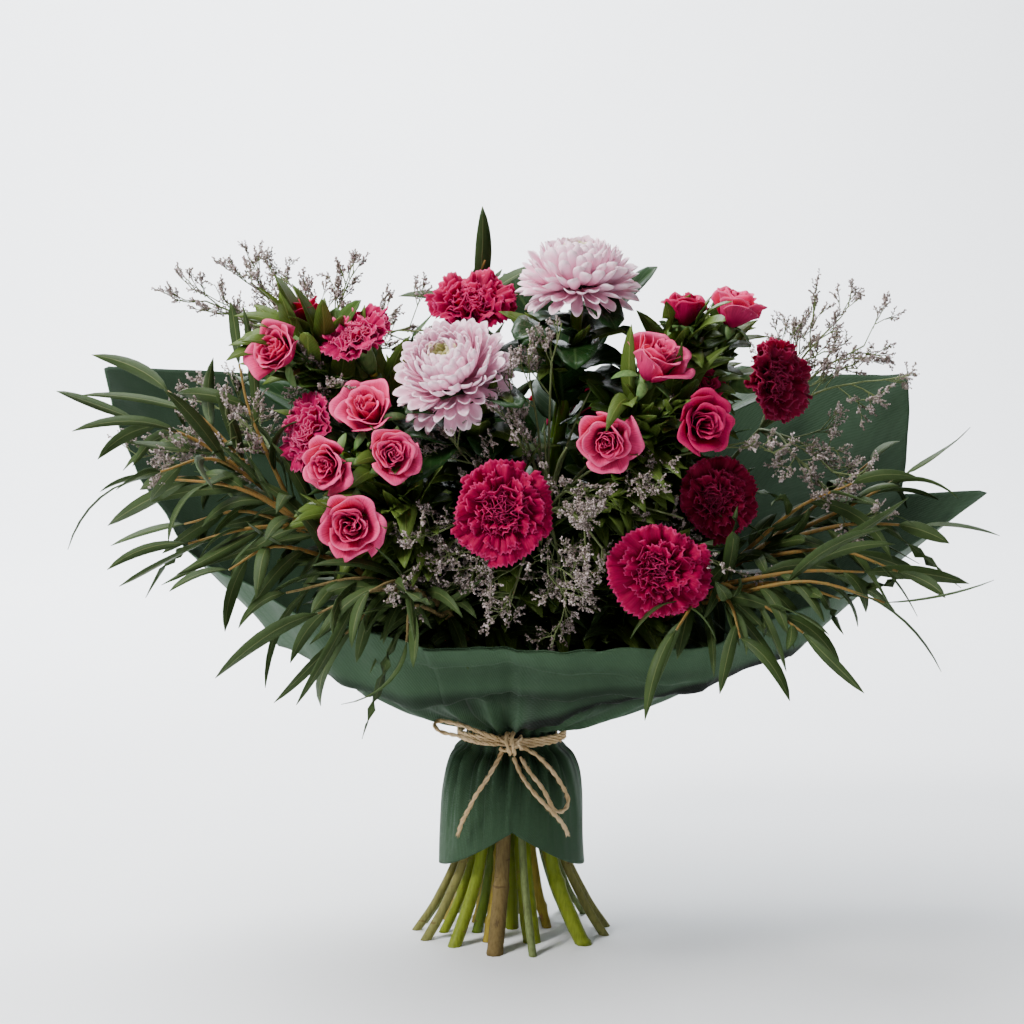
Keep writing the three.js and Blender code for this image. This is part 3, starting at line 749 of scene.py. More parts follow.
def leaf_skin(name, dark, light, vein, shine=0.42, veins=24):
    """Leaf colour: a pale midrib, a number of side veins slanting towards the tip, and blotches."""
    skin = Shader(name, roughness=shine)
    uv = skin.unwrapped()
    across, along = skin.split(uv, 0), skin.split(uv, 1)
    off = skin.node("ShaderNodeMath", {"operation": "ABSOLUTE"}, {0: across - 0.5})
    rib = 1 - skin.between(off, 0.012, 0.05)
    slant = skin.node("ShaderNodeMath", {"operation": "SINE"}, {0: (along - off * 0.5) * veins * 6.283})
    side = skin.between(slant, 0.82, 1.0) * 0.5
    cloud = skin.noise(skin.place(), 70, 4)
    fine = skin.noise(skin.place(), 900, 2)
    colour = skin.mix(cloud, dark, light)
    colour = skin.mix(fine * 0.3, colour, dark)
    colour = skin.mix(side * 0.5, colour, vein)
    colour = skin.mix(rib * 0.7, colour, vein)
    skin.bump(rib * 0.6 + side * 0.5 + fine * 0.12, 0.5, 0.0005)
    return skin.paint(colour, 0.2 * fine + (shine - 0.1))


ROSE_LEAF = leaf_skin("rose_leaf", (0.018, 0.045, 0.007), (0.06, 0.115, 0.016), (0.08, 0.13, 0.035))

# Each rose stem: its skin, where its main stem forks, and its blooms. A bloom has the way it
# faces and its colour, and its middle and radius if it isn't a node of its own.
ROSES = {
    "rose_upper_left": ("straw", (-0.084, -0.032, 0.3), {
        "outer": ((-0.45, -0.75, 0.4), "pink", None, None),
        "bud": ((-0.25, -0.1, 1), "deep", (-0.122, -0.036, 0.384), 0.0125)}),
    "rose_left": ("fresh", (-0.048, -0.056, 0.23), {
        "upper": ((-0.25, -0.75, 0.6), "pink", None, None),
        "outer": ((-0.35, -0.9, 0), "pink", None, None),
        "inner": ((0.1, -0.95, 0.2), "pink", None, None),
        "lower": ((-0.05, -1, 0.1), "pink", None, None)}),
    "rose_right": ("fresh", (0.046, -0.056, 0.255), {
        "upper": ((0.35, -0.45, 0.8), "pink", None, None),
        "inner": ((-0.1, -0.95, -0.05), "pink", None, None),
        "outer": ((0.25, -0.95, 0.1), "deep", None, None),
        "back": ((0.1, -0.85, 0.4), "deep", None, None)}),
    "rose_upper_right": ("deep", (0.086, -0.01, 0.31), {
        "bud": ((0.1, -0.05, 1), "deep", (0.099, -0.056, 0.384), 0.0155),
        "outer": ((0.35, -0.1, 0.9), "pink", None, None)}),
    "rose_back": ("fresh", (-0.044, 0.05, 0.27), {
        "inner": ((0, 0.6, 0.8), "pink", None, None),
        "outer": ((-0.5, 0.6, 0.6), "pink", None, None)}),
}
TONES = {"pink": (ROSE_OUTER, ROSE_HEART), "deep": (ROSE_DEEP, ROSE_DEEP)}

for seed, (spray, (skin, fork, blooms)) in enumerate(ROSES.items()):
    rng = random.Random(90 + seed)
    canes = Canes(spray)
    fork = Vector(fork)
    line = [ring for ring in centre_line(spray + "_stem", fork.z - 0.004) if ring[0].z < fork.z - 0.003]
    line.append((fork, line[-1][1]))
    main = grow_stem(canes, line, 0.04, seed + 20, 0.62)
    stem_tops[spray] = main
    buds = Form()
    for where, (facing, tone, middle, radius) in blooms.items():
        node = f"{spray}_head_{where}"
        face = Vector(facing).normalized()
        if middle is None:
            matrix, radius = seat(node, facing), span(node, facing) * 1.02
        else:
            base = Vector(middle) - 0.016 * face
            matrix = Matrix.Translation(base) @ face.to_track_quat("Z", "Y").to_matrix().to_4x4()
        base = matrix.translation
        lead = fork + (fork - main[-8]).normalized() * (base - fork).length * 0.35
        way = smooth_line([fork, lead, base - face * 0.012, base + face * radius * 0.1], 26)
        canes.add(way, [0.0026 - 0.0008 * k / 25 for k in range(26)])
        if middle is None:
            form = Form()
            rose(form, radius, matrix, rng)
            head = finished(f"{spray}_rose_{where}", form, *TONES[tone], CALYX_GREEN)
            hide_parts(node)
            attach(head, "root")
        else:
            rose(buds, radius, matrix, rng, 18)
        stem_tops[f"{spray}_{where}"] = way
    if buds.spots:
        bud = finished(f"{spray}_bud", buds, *TONES["deep"], CALYX_GREEN)
        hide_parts(spray + "_stem")
        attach(bud, "root")
    stem = show(spray + "_cane", canes.mesh(), STEM_SKINS[skin], PITH)
    stand(stem.data, 1)
    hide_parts(spray + "_stem")
    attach(stem, "root")


# ------------------------------------------------------------------ the chrysanthemums
# Two large blooms of over two hundred and fifty channelled florets, curving in over a
# yellow-green middle and hanging at the edge, on a small green cup of bracts.

# Rings of florets from the edge in: how many, their tilt at the base and the tip, and length.
FLORET_RINGS = [
    (17, 128, 110, 0.0275), (20, 116, 88, 0.028), (22, 104, 64, 0.0275), (24, 93, 42, 0.0268),
    (25, 83, 20, 0.0262), (25, 73, 2, 0.0252), (24, 63, -14, 0.024), (22, 53, -28, 0.0228),
    (20, 43, -38, 0.021), (19, 35, -26, 0.0178), (16, 27, -12, 0.0148), (13, 19, -2, 0.0122),
    (9, 12, 2, 0.0098), (5, 5, 0, 0.0078),
]
CHRYSANTHEMUM_SIZE = 0.035  # the radius that the rings above are sized for
FLORET_WIDE, MIDDLE_SHARE = 0.0068, 0.62  # a floret's width, and a middle one's share of it
MIDDLE_RINGS = 5
BRACTS = 26


def floret(form, turn, start, end, length, width, channel, rng, slot):
    """A floret that leaves the cup at a tilt of start degrees and ends at a tilt of end degrees."""
    spine = bend(length, math.radians(start), math.radians(end), 1.1, 14)
    out = Vector((math.cos(turn), math.sin(turn), 0))
    side = Vector((-math.sin(turn), math.cos(turn), 0))
    twist = rng.uniform(-0.5, 0.5)
    root = 0.0085 * math.sin(math.radians(start))
    rise = 0.010 + 0.0065 * math.cos(math.radians(min(start, 100)))

    def place(u, t):
        reach = t * (1 - 0.07 * u * u * t ** 4)
        r, h, tilt = spine(reach)
        opening = 0.3 + 0.7 * math.sin(min(t / 0.7, 1) * math.pi / 2)
        half = width / 2 * opening * (1 - 0.3 * (max(t - 0.8, 0) / 0.2) ** 2)
        normal = Vector((0, 0, math.sin(tilt))) - out * math.cos(tilt)
        lift = channel * half * u * u + twist * u * half * t
        return out * (root + r) + side * (u * half) + Vector((0, 0, rise + h)) + normal * lift

    petal(form, 4, 8, place, slot)


def floret_skin(name, base, blade, tip):
    """Floret colour: fine lines along it, from the base through the blade to a paler tip."""
    skin = Shader(name, roughness=0.55, sheen_weight=0.15)
    uv = skin.unwrapped()
    along = skin.split(uv, 1)
    stretched = skin.node("ShaderNodeMapping", None, {"Vector": uv, "Scale": (9, 0.7, 1)})
    lines = skin.noise(stretched, 1, 2)
    cloud = skin.noise(skin.place(), 90, 2)
    colour = skin.mix(skin.between(along, 0.05, 0.7), base, blade)
    colour = skin.mix(skin.between(along, 0.72, 1.0) * 0.7, colour, tip)
    colour = skin.mix(lines * 0.3, colour, base)
    skin.bump(lines, 0.3, 0.0004)
    skin.surface.inputs["Subsurface Weight"].default_value = 0.15
    skin.surface.inputs["Subsurface Radius"].default_value = (0.004, 0.002, 0.002)
    skin.surface.inputs["Subsurface Scale"].default_value = 1
    return skin.paint(skin.mix(skin.between(cloud, 0.55, 0.8) * 0.3, colour, tip))


FLORET_PINK = floret_skin("floret_pink", (0.86, 0.28, 0.46), (0.95, 0.6, 0.74), (0.98, 0.85, 0.9))
FLORET_MIDDLE = floret_skin("floret_middle", (0.4, 0.48, 0.12), (0.66, 0.66, 0.25), (0.8, 0.72, 0.5))
CHRYSANTHEMUM_LEAF = leaf_skin(
    "chrysanthemum_leaf", (0.004, 0.018, 0.003), (0.017, 0.05, 0.012), (0.045, 0.08, 0.025), 0.3, 7)
CHRYSANTHEMUMS = {"chrysanthemum_left": (-0.35, -0.62, 0.7), "chrysanthemum_top": (0, -0.12, 1)}

for seed, (flower, facing) in enumerate(CHRYSANTHEMUMS.items()):
    rng = random.Random(130 + seed)
    size = span(flower + "_head", facing) / CHRYSANTHEMUM_SIZE
    form = Form()
    for rank, (count, start, end, length) in enumerate(FLORET_RINGS):
        first = rng.uniform(0, ANY_TURN)
        inner = rank >= len(FLORET_RINGS) - MIDDLE_RINGS
        for k in range(count):
            turn = first + (k + rng.uniform(-0.25, 0.25)) * 2 * math.pi / count
            floret(form, turn, start + rng.uniform(-6, 6), end + rng.uniform(-10, 10),
                   length * rng.uniform(0.92, 1.05), FLORET_WIDE * (MIDDLE_SHARE if inner else 1),
                   rng.uniform(0.45, 0.8), rng, 1 if inner else 0)
    for k in range(BRACTS):
        turn = k * GOLDEN_TURN
        out = Vector((math.cos(turn), math.sin(turn), 0))
        blade(form, out * 0.004 + Vector((0, 0, 0.003)), out + Vector((0, 0, 0.5 + 0.02 * k)),
              Vector((0, 0, 1)), 0.012, 0.005, -0.3, 2, blunt=0.5)
    form.turn(seat(flower + "_head", facing) @ Matrix.Scale(size, 4))
    bloom = finished(flower + "_bloom", form, FLORET_PINK, FLORET_MIDDLE, CHRYSANTHEMUM_LEAF)
    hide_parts(flower + "_head")
    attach(bloom, "root")


# ------------------------------------------------------------------ the willow branches
# Branches of a narrow-leaved gum. Long curved leaves hang from thin reddish twigs that reach
# out past the wrap on both sides, forward and up. The front branch has a woody stem.

GUM_LEAF = leaf_skin("gum_leaf", (0.014, 0.03, 0.008), (0.052, 0.086, 0.022), (0.12, 0.14, 0.05), 0.5, 40)
GUM_TWIG = stem_skin("gum_twig", (0.22, 0.12, 0.03), (0.2, 0.2, 0.06), (0.1, 0.05, 0.02), 0.55)
DOWN = Vector((0, 0, -1))
GUM_LEAF_WIDE, TWIG_LEAF_WIDE, BASE_LEAF_WIDE = 0.0078, 0.0076, 0.0085


def along_line(line, share):
    """The point and the heading at a share of a line."""
    k = min(max(share, 0), 0.9999) * (len(line) - 1)
    i = int(k)
    return line[i].lerp(line[i + 1], k - i), (line[i + 1] - line[i]).normalized()


def leafy(form, line, count, length, width, rng, first=0.1, droop=(0.2, 1.4), lean=0.9, grid=(2, 8)):
    """Leaves turning round a twig, the last at its tip."""
    for k in range(count):
        share = first + (1 - first) * k / max(count - 1, 1)
        point, heading = along_line(line, share)
        side = heading.cross(Vector((0, 0, 1)))
        side = side.normalized() if side.length > 0.05 else Vector((1, 0, 0))
        turn = k * GOLDEN_TURN + rng.uniform(-0.8, 0.8)
        out = side * math.cos(turn) + side.cross(heading) * math.sin(turn) * 0.6
        opening = lean * (1 - 0.5 * share ** 4) * rng.uniform(0.4, 1.7)
        way = heading + out * opening + DOWN * rng.uniform(-0.2, 0.5) * lean
        face = Vector([rng.uniform(-1, 1) for _ in range(3)]) + Vector((0, -0.3, 0.5))
        long = length * rng.uniform(0.45, 1.15)
        blade(form, point, way, face, long, width * rng.uniform(0.8, 1.12), rng.uniform(*droop), 0, grid,
              fold=rng.uniform(0.1, 0.35), blunt=0.75, curl=rng.uniform(-1.3, 1.3))


# Each branch: how high its bare stem goes, where it rises, its leaves' length and its twigs.
BRANCHES = {
    "willow_upper_left": (0.195, [(-0.062, -0.034, 0.2), (-0.138, -0.066, 0.28)], 0.06, [
        [(-0.176, -0.054, 0.318), (-0.2, -0.036, 0.334)], [(-0.18, -0.075, 0.31), (-0.212, -0.082, 0.322)],
        [(-0.165, -0.09, 0.3), (-0.195, -0.11, 0.296)], [(-0.15, -0.05, 0.32), (-0.158, -0.04, 0.35)]]),
    "willow_left": (0.185, [(-0.05, -0.048, 0.19), (-0.112, -0.086, 0.262)], 0.062, [
        [(-0.16, -0.078, 0.286), (-0.205, -0.062, 0.287)], [(-0.146, -0.108, 0.264), (-0.18, -0.112, 0.256)],
        [(-0.15, -0.092, 0.283), (-0.198, -0.09, 0.29)], [(-0.15, -0.07, 0.268), (-0.19, -0.05, 0.258)],
        [(-0.13, -0.115, 0.255), (-0.155, -0.135, 0.245)]]),
    "willow_front": (0.172, [(-0.02, -0.05, 0.178), (-0.044, -0.092, 0.224)], 0.062, [
        [(-0.076, -0.126, 0.232), (-0.106, -0.142, 0.222)], [(-0.07, -0.118, 0.226), (-0.092, -0.128, 0.208)],
        [(-0.062, -0.12, 0.236), (-0.078, -0.14, 0.234)], [(-0.08, -0.11, 0.236), (-0.125, -0.122, 0.23)],
        [(-0.055, -0.118, 0.222), (-0.058, -0.136, 0.205)]]),
    "willow_right": (0.185, [(0.072, -0.03, 0.19), (0.146, -0.064, 0.248)], 0.055, [
        [(0.192, -0.066, 0.27), (0.226, -0.058, 0.288)], [(0.19, -0.08, 0.262), (0.232, -0.085, 0.262)],
        [(0.18, -0.05, 0.272), (0.21, -0.03, 0.292)], [(0.18, -0.095, 0.25), (0.215, -0.11, 0.24)],
        [(0.16, -0.08, 0.27), (0.19, -0.1, 0.288)]]),
    "willow_low_right": (0.18, [(0.062, -0.044, 0.184), (0.12, -0.092, 0.23)], 0.055, [
        [(0.16, -0.11, 0.24), (0.196, -0.112, 0.24)], [(0.14, -0.116, 0.222), (0.16, -0.136, 0.21)],
        [(0.15, -0.1, 0.232), (0.185, -0.095, 0.222)], [(0.12, -0.12, 0.225), (0.125, -0.14, 0.208)],
        [(0.16, -0.12, 0.236), (0.205, -0.13, 0.226)], [(0.1, -0.115, 0.222), (0.09, -0.138, 0.212)]]),
    "willow_top": (0.245, [(-0.01, 0.014, 0.25), (-0.02, 0.012, 0.372)], 0.045, [
        [(-0.02, 0.014, 0.396), (-0.016, 0.014, 0.408)]]),
}

for seed, (branch, (bare, rise, leaf, twigs)) in enumerate(BRANCHES.items()):
    rng = random.Random(170 + seed)
    canes = Canes(branch)
    form = Form()
    lower = [ring for ring in centre_line(branch, bare) if ring[0].z < bare]
    thick = lower[-1][1]
    woody = branch == "willow_front"
    line = [*lower, *((Vector(point), thick) for point in rise)]
    trunk = grow_stem(canes, line, 0.12 if woody else 0.03, seed + 40, 0.5, 90)
    upper = [point for point in trunk if point.z > bare - 0.02]
    stem_tops[branch] = upper
    fork = Vector(rise[1])
    leafy(form, upper, 20, leaf, GUM_LEAF_WIDE, rng, 0.05, lean=1.4)
    for k in range(16):
        point, _ = along_line(upper, 0.03 * k)
        toward = Vector((rng.uniform(-1, 1), rng.uniform(-1.6, 0.4), rng.uniform(0.3, 1.3)))
        blade(form, point, toward, Vector((0, -1, 0.6)), rng.uniform(0.06, 0.085), BASE_LEAF_WIDE,
              rng.uniform(0.2, 1.6), 0, fold=0.2, curl=rng.uniform(-0.6, 0.6))
    for k, twig in enumerate(twigs):
        base, _ = along_line(upper, 1 - 0.12 * (k // 2))
        way = smooth_line([base, *twig], 16)
        canes.add(way, [0.0015 - 0.0009 * n / 15 for n in range(16)])
        if branch == "willow_top":
            blade(form, way[5], (0.12, 0, 1), (0.5, -1, 0.2), 0.056, 0.011, 0.1, fold=0.3, curl=-0.4)
            blade(form, way[4], (0.9, -0.1, 0.8), (0, -0.6, 1), 0.045, 0.01, 0.5)
            blade(form, way[2], (-1, -0.2, 0.5), (0, -0.6, 1), 0.05, 0.01, 0.6)
        else:
            leafy(form, way, 7, leaf * 1.06, TWIG_LEAF_WIDE, rng)
    leaves = finished(branch + "_leaves", form, GUM_LEAF)
    stem = show(branch + "_cane", canes.mesh(), STEM_SKINS["woody"] if woody else GUM_TWIG, PITH)
    stand(stem.data, 1)
    for piece, kind in ((leaves, "willow_leaves"), (stem, "woody_stem" if woody else "green_stems")):
        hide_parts(branch)
        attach(piece, "root")


# ------------------------------------------------------------------ the leaves on the flower stems
# The flowers keep their own leaves above the tie: narrow grey-green ones on the carnations,
# leaflets in fives on the roses, and broad wavy ones on the chrysanthemums. They fill the collar.

CARNATION_LEAF = leaf_skin(
    "carnation_leaf", (0.022, 0.05, 0.014), (0.07, 0.125, 0.034), (0.12, 0.17, 0.06), veins=60)
FILL_LEAF = leaf_skin("fill_leaf", (0.035, 0.065, 0.01), (0.11, 0.165, 0.026), (0.17, 0.22, 0.05), veins=14)
FILL_LEAVES, CARNATION_LEAVES, ROSE_LEAVES = 48, 28, 9  # on each stem

# The middle of each bloom, and the radius of the room that it keeps in front of it.
BLOOMS = []
for node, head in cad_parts.items():
    if "_head" in node:
        corners = [vert.co for vert in head.data.vertices]
        low, high = (Vector([pick(corner[axis] for corner in corners) for axis in range(3)])
                     for pick in (min, max))
        BLOOMS.append(((low + high) / 2, (high - low).length / 3.6))


def hides(point):
    """Whether a point stands in front of a bloom's face, where leaves and sprays leave room."""
    return any(point.y < middle.y and (point - middle).xz.length < radius for middle, radius in BLOOMS)


def leaflets(form, point, way, face, size, rng):
    """A rose leaf: a stalk with five oval leaflets."""
    way = way.normalized()
    side = way.cross(face).normalized()
    for share, lean, scale in ((1, 0, 1), (0.72, 1, 0.85), (0.72, -1, 0.85), (0.4, 1, 0.7), (0.4, -1, 0.7)):
        root = point + way * size * share
        heading = way + side * lean * 1.1
        blade(form, root, heading, face, size * 1.05 * scale, size * 0.62 * scale,
              rng.uniform(0.1, 0.7), 0, (4, 7), fold=0.22, blunt=0.6, wave=0.08)
    blade(form, point, way, face, size * 1.02, 0.0016, 0, 0, (2, 4), blunt=0.1)


for seed, (flower, line) in enumerate(list(stem_tops.items())):
    if flower.startswith("willow"):
        continue
    rng = random.Random(210 + seed)
    stem_nodes = (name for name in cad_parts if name.endswith("_stem"))
    node = next(name for name in stem_nodes if flower.startswith(name[:-5]))
    form = Form()
    above = [point for point in line if point.z > 0.165]
    kind = flower.split("_")[0]
    if kind == "carnation":
        lower = above[: len(above) * 4 // 5]
        leafy(form, lower, CARNATION_LEAVES, 0.075, 0.0062, rng, 0.05, (0.3, 1.6), 0.8, (2, 9))
        skin = CARNATION_LEAF
    elif kind == "rose":
        for k in range(ROSE_LEAVES):
            point, heading = along_line(above, 0.06 + 0.085 * k)
            out = Vector((rng.uniform(-1, 1), rng.uniform(-1.2, 0.8), rng.uniform(-0.1, 0.8)))
            size = rng.uniform(0.017, 0.023)
            leaflets(form, point, out + heading * 0.5, Vector((0.1, -0.5, 0.8)), size, rng)
        skin = ROSE_LEAF
    else:
        for k in range(18):
            point, heading = along_line(above, 0.1 + 0.047 * k)
            out = Vector((rng.uniform(-1, 1), rng.uniform(-1.2, 0.8), rng.uniform(-0.2, 0.6)))
            blade(form, point, out + heading * 0.5, Vector((0, -0.4, 0.9)), rng.uniform(0.045, 0.068), 0.028,
                  rng.uniform(0.4, 1.4), 0, (6, 9), fold=0.2, blunt=0.55, wave=0.2)
        for k in range(8):
            point, _ = along_line(line, 0.86 + 0.017 * k)
            turn = GOLDEN_TURN * k + seed
            out = Vector((math.sin(turn), -math.cos(turn), rng.uniform(0.1, 0.7)))
            blade(form, point, out, Vector((0, -0.3, 1)), rng.uniform(0.034, 0.05), 0.026,
                  rng.uniform(0.8, 2.4), 0, (6, 9), fold=0.3, blunt=0.5, wave=0.25)
        skin = CHRYSANTHEMUM_LEAF
    for _ in range(FILL_LEAVES):
        point, _ = along_line(above, rng.uniform(0.02, 0.9))
        out = (point - Vector((0, 0.02, 0.16))).normalized()
        aside = Vector((rng.uniform(-0.7, 0.7), rng.uniform(-1.2, 0.3), rng.uniform(-0.3, 0.5)))
        toward = (out + aside).normalized()
        long = rng.uniform(0.035, 0.066)
        if not any(hides(point + toward * long * share) for share in (0.3, 0.6, 0.9)):
            blade(form, point, toward, Vector((rng.uniform(-0.5, 0.5), -0.6, 0.8)), long,
                  rng.uniform(0.009, 0.015), rng.uniform(0.2, 1.5), 1, fold=0.25, curl=rng.uniform(-0.5, 0.5))
    leaves = finished(flower + "_leaves", form, skin, FILL_LEAF)
    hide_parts(node)
    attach(leaves, "root")


# ------------------------------------------------------------------ the limonium
# Sprays of limonium between the flowers and above them: wiry stems that fork again and again
# and end in a haze of tiny papery lilac cups.

# Each spray: how high its bare stem goes, where it forks, and the tips of its branches.
SPRAYS = {
    "limonium_left": (0.235, (-0.14, -0.03, 0.296), [
        (-0.196, -0.044, 0.3), (-0.18, 0, 0.322), (-0.16, 0.02, 0.308), (-0.185, -0.075, 0.297),
        (-0.16, -0.07, 0.31)]),
    "limonium_upper_left": (0.255, (-0.112, -0.01, 0.34), [
        (-0.178, -0.03, 0.386), (-0.152, -0.02, 0.396), (-0.13, 0.006, 0.392), (-0.146, 0.02, 0.36),
        (-0.1, -0.02, 0.385), (-0.06, -0.02, 0.37), (-0.105, -0.06, 0.335)]),
    "limonium_middle": (0.195, (0.02, -0.074, 0.27), [
        (0.018, -0.1, 0.318), (0.038, -0.096, 0.28), (0.046, -0.066, 0.34), (0, -0.1, 0.33),
        (0.06, -0.1, 0.3), (-0.02, -0.105, 0.25), (0.02, -0.118, 0.24), (0.01, -0.11, 0.29),
        (0.095, -0.11, 0.27), (-0.045, -0.11, 0.26), (0.05, -0.12, 0.255), (-0.04, -0.1, 0.225),
        (0, -0.112, 0.225), (0.03, -0.11, 0.222), (0.075, -0.09, 0.32), (0.01, -0.08, 0.345),
        (-0.03, -0.09, 0.3), (0.03, -0.115, 0.31), (0.04, -0.12, 0.265), (-0.06, -0.115, 0.24),
        (0.12, -0.1, 0.24), (0.13, -0.09, 0.31), (0.022, -0.09, 0.355)]),
    "limonium_right": (0.245, (0.146, -0.02, 0.31), [
        (0.184, -0.034, 0.37), (0.204, -0.04, 0.34), (0.184, -0.064, 0.29), (0.17, 0.01, 0.35),
        (0.205, -0.03, 0.36), (0.19, -0.08, 0.265), (0.16, -0.08, 0.3)]),
}
FORKS, CUPS = 4, 7  # the twigs of a twig, and the florets of a last one
LIMONIUM_WIRE = stem_skin("limonium_wire", (0.12, 0.15, 0.06), (0.16, 0.2, 0.07), (0.1, 0.07, 0.04), 0.6)
tiny = Shader("limonium_cup", roughness=0.8)
speck = tiny.noise(tiny.place(), 420, 3)
lilac = tiny.ramp(speck, (0.34, (0.1, 0.08, 0.06)), (0.5, (0.28, 0.22, 0.2)), (0.66, (0.6, 0.5, 0.5)))
LIMONIUM_CUP = tiny.paint(lilac)

small = bmesh.new()
bmesh.ops.create_cone(small, cap_ends=True, cap_tris=True, segments=5, radius1=0.25, radius2=1, depth=2.6)
CUP = shape_of(small)


def cup(form, point, way, radius):
    """One floret: a five-sided cup that widens upwards, with a pointed foot."""
    turned = way.to_track_quat("Z", "Y").to_matrix().to_4x4()
    placed = Matrix.Translation(point) @ turned @ Matrix.Scale(radius, 4)
    form.add(CUP, lambda spot: placed @ spot)


def haze(canes, form, root, heading, reach, depth, rng):
    """A twig that forks depth times and carries florets along its last forks."""
    tip = root + heading * reach + Vector((0, 0, 0.1 * reach))
    if hides(tip) or hides(root):
        return
    middle = root.lerp(tip, 0.5) + Vector([rng.uniform(-0.06, 0.06) * reach for _ in range(3)])
    thin = 0.00016 + 0.00012 * depth
    canes.add([root, middle, tip], [thin * 1.2, thin, thin * 0.8])
    if depth == 0:
        for k in range(CUPS):
            point = root.lerp(tip, 0.25 + k / 8)
            out = heading + Vector([rng.uniform(-0.8, 0.8) for _ in range(3)])
            cup(form, point + out.normalized() * 0.0009, out.normalized(), rng.uniform(0.0004, 0.00072))
        return
    for k in range(FORKS):
        fork = root.lerp(tip, 0.45 + 0.55 * (k + 0.5) / FORKS)
        aside = Vector([rng.uniform(-1, 1) for _ in range(3)])
        way = (heading + aside * 0.75 + Vector((0, 0, 0.25))).normalized()
        haze(canes, form, fork, way, reach * rng.uniform(0.42, 0.62), depth - 1, rng)


for seed, (spray, (bare, fork, tips)) in enumerate(SPRAYS.items()):
    rng = random.Random(260 + seed)
    stalks = Canes(spray)
    wires = Canes(spray + "_wires", 0)
    cups = Form()
    lower = [ring for ring in centre_line(spray, bare) if ring[0].z < bare]
    fork = Vector(fork)
    line = [*lower, (fork, lower[-1][1])]
    grow_stem(stalks, line, 0.02, seed + 60, 0.5)
    for tip in tips:
        tip = Vector(tip)
        way = smooth_line([fork, fork.lerp(tip, 0.55) + Vector((0, 0, 0.006)), tip], 12)
        stalks.add(way, [0.001 - 0.0005 * k / 11 for k in range(12)])
        for share in (0.4, 0.52, 0.64, 0.76, 0.88, 1):
            point, heading = along_line(way, share)
            aside = Vector([rng.uniform(-1, 1) for _ in range(3)])
            haze(wires, cups, point, (heading + aside * 0.7).normalized(), rng.uniform(0.016, 0.024), 2, rng)
    stem = show(spray + "_stalk", stalks.mesh(), LIMONIUM_WIRE, PITH)
    stand(stem.data, 1)
    web = show(spray + "_web", wires.mesh(), LIMONIUM_WIRE)
    florets = finished(spray + "_florets", cups, LIMONIUM_CUP, thick=0)
    for piece in (stem, web, florets):
        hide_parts(spray)
        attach(piece, "root")


# ------------------------------------------------------------------ the broad leaves
# Dark glossy leaves that stand behind the blooms, with a pale midrib and side veins.

BROADLEAF = leaf_skin(
    "broad_leaf", (0.006, 0.022, 0.006), (0.016, 0.048, 0.011), (0.045, 0.08, 0.025), 0.4, 9)
# Each spray: how high its bare stem goes, where its top leaves part, and their tips.
BROADLEAVES = {
    "broadleaf_left": (0.235, (-0.084, 0.052, 0.286), [
        (-0.15, 0.07, 0.34), (-0.16, 0.03, 0.33), (-0.1, 0.11, 0.32)]),
    "broadleaf_top": (0.245, (0.03, 0.004, 0.34), [
        (0.084, -0.014, 0.402), (-0.004, 0.04, 0.396), (0.06, 0.048, 0.384)]),
    "broadleaf_right": (0.235, (0.092, 0.06, 0.286), [
        (0.15, 0.076, 0.336), (0.16, 0.036, 0.326), (0.11, 0.116, 0.318)]),
}
for seed, (spray, (bare, fork, tips)) in enumerate(BROADLEAVES.items()):
    rng = random.Random(300 + seed)
    canes = Canes(spray)
    form = Form()
    lower = [ring for ring in centre_line(spray, bare) if ring[0].z < bare]
    fork = Vector(fork)
    main = grow_stem(canes, [*lower, (fork, lower[-1][1])], 0.03, seed + 80, 0.6)
    for tip in tips:
        way = Vector(tip) - fork
        blade(form, fork, way + Vector((0, 0, 0.2 * way.length)), Vector((0, -0.5, 1)), way.length * 1.04,
              0.033, 0.35, 0, (8, 16), fold=0.25, blunt=0.6, wave=0.12)
    above = [point for point in main if point.z > 0.19]
    for k in range(7):
        point, heading = along_line(above, 0.1 + 0.12 * k)
        out = Vector((rng.uniform(-1, 1), rng.uniform(-0.6, 1.2), rng.uniform(0, 0.6)))
        blade(form, point, out + heading * 0.6, Vector((0, -0.4, 0.9)), rng.uniform(0.055, 0.075),
              0.028, 0.7, 0, (6, 12), fold=0.25, blunt=0.6, wave=0.12)
    leaves = finished(spray + "_leaves", form, BROADLEAF)
    stem = show(spray + "_cane", canes.mesh(), STEM_SKINS["deep"], PITH)
    stand(stem.data, 1)
    for piece, kind in ((leaves, "broad_leaves"), (stem, "green_stems")):
        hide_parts(spray)
        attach(piece, "root")


# ------------------------------------------------------------------ the wrap
# Two sheets of soft green embossed wrap, gathered at the waist and opened into a wide collar.
# Each overlaps the other at the front and at the back, and the twine holds them.

HEM_LOW, HEM_PEAK = 0.043, 0.072
SHEET_T, SHEET_FLAT = 0.0006, (0.34, 0.34)
NEST = 0.0016  # how far a sheet's overlapping edge stands off the other sheet
GATHERS, SMALL_GATHERS = 11, 23


def wrap_line(angle, count):
    """The sheet's profile at one angle: radius and height from hem to rim."""
    rim_r, rim_z = rim_at(angle)
    slant = abs(math.sin(math.radians(angle)))
    hem = HEM_LOW + ((HEM_PEAK - HEM_LOW) * (1 - slant) if abs(angle) < 90 else 0)
    low, high = TIE_Z - WAIST_HALF, TIE_Z + WAIST_HALF
    levels = [(0.043, hem), (0.041, max(hem + 0.008, 0.088)), (0.036, low - 0.009)]
    levels += [(WRAP_R, low), (WRAP_R, high)]
    for t in (0.1, 0.3, 0.55, 0.8, 1):
        sag = 0.02 * slant * math.sin(math.pi * t)
        levels.append((WRAP_R + (rim_r - WRAP_R) * t, high + (rim_z - high) * t - sag))
    return [(point.x, point.y) for point in smooth_line([(r, z, 0) for r, z in levels], count)]


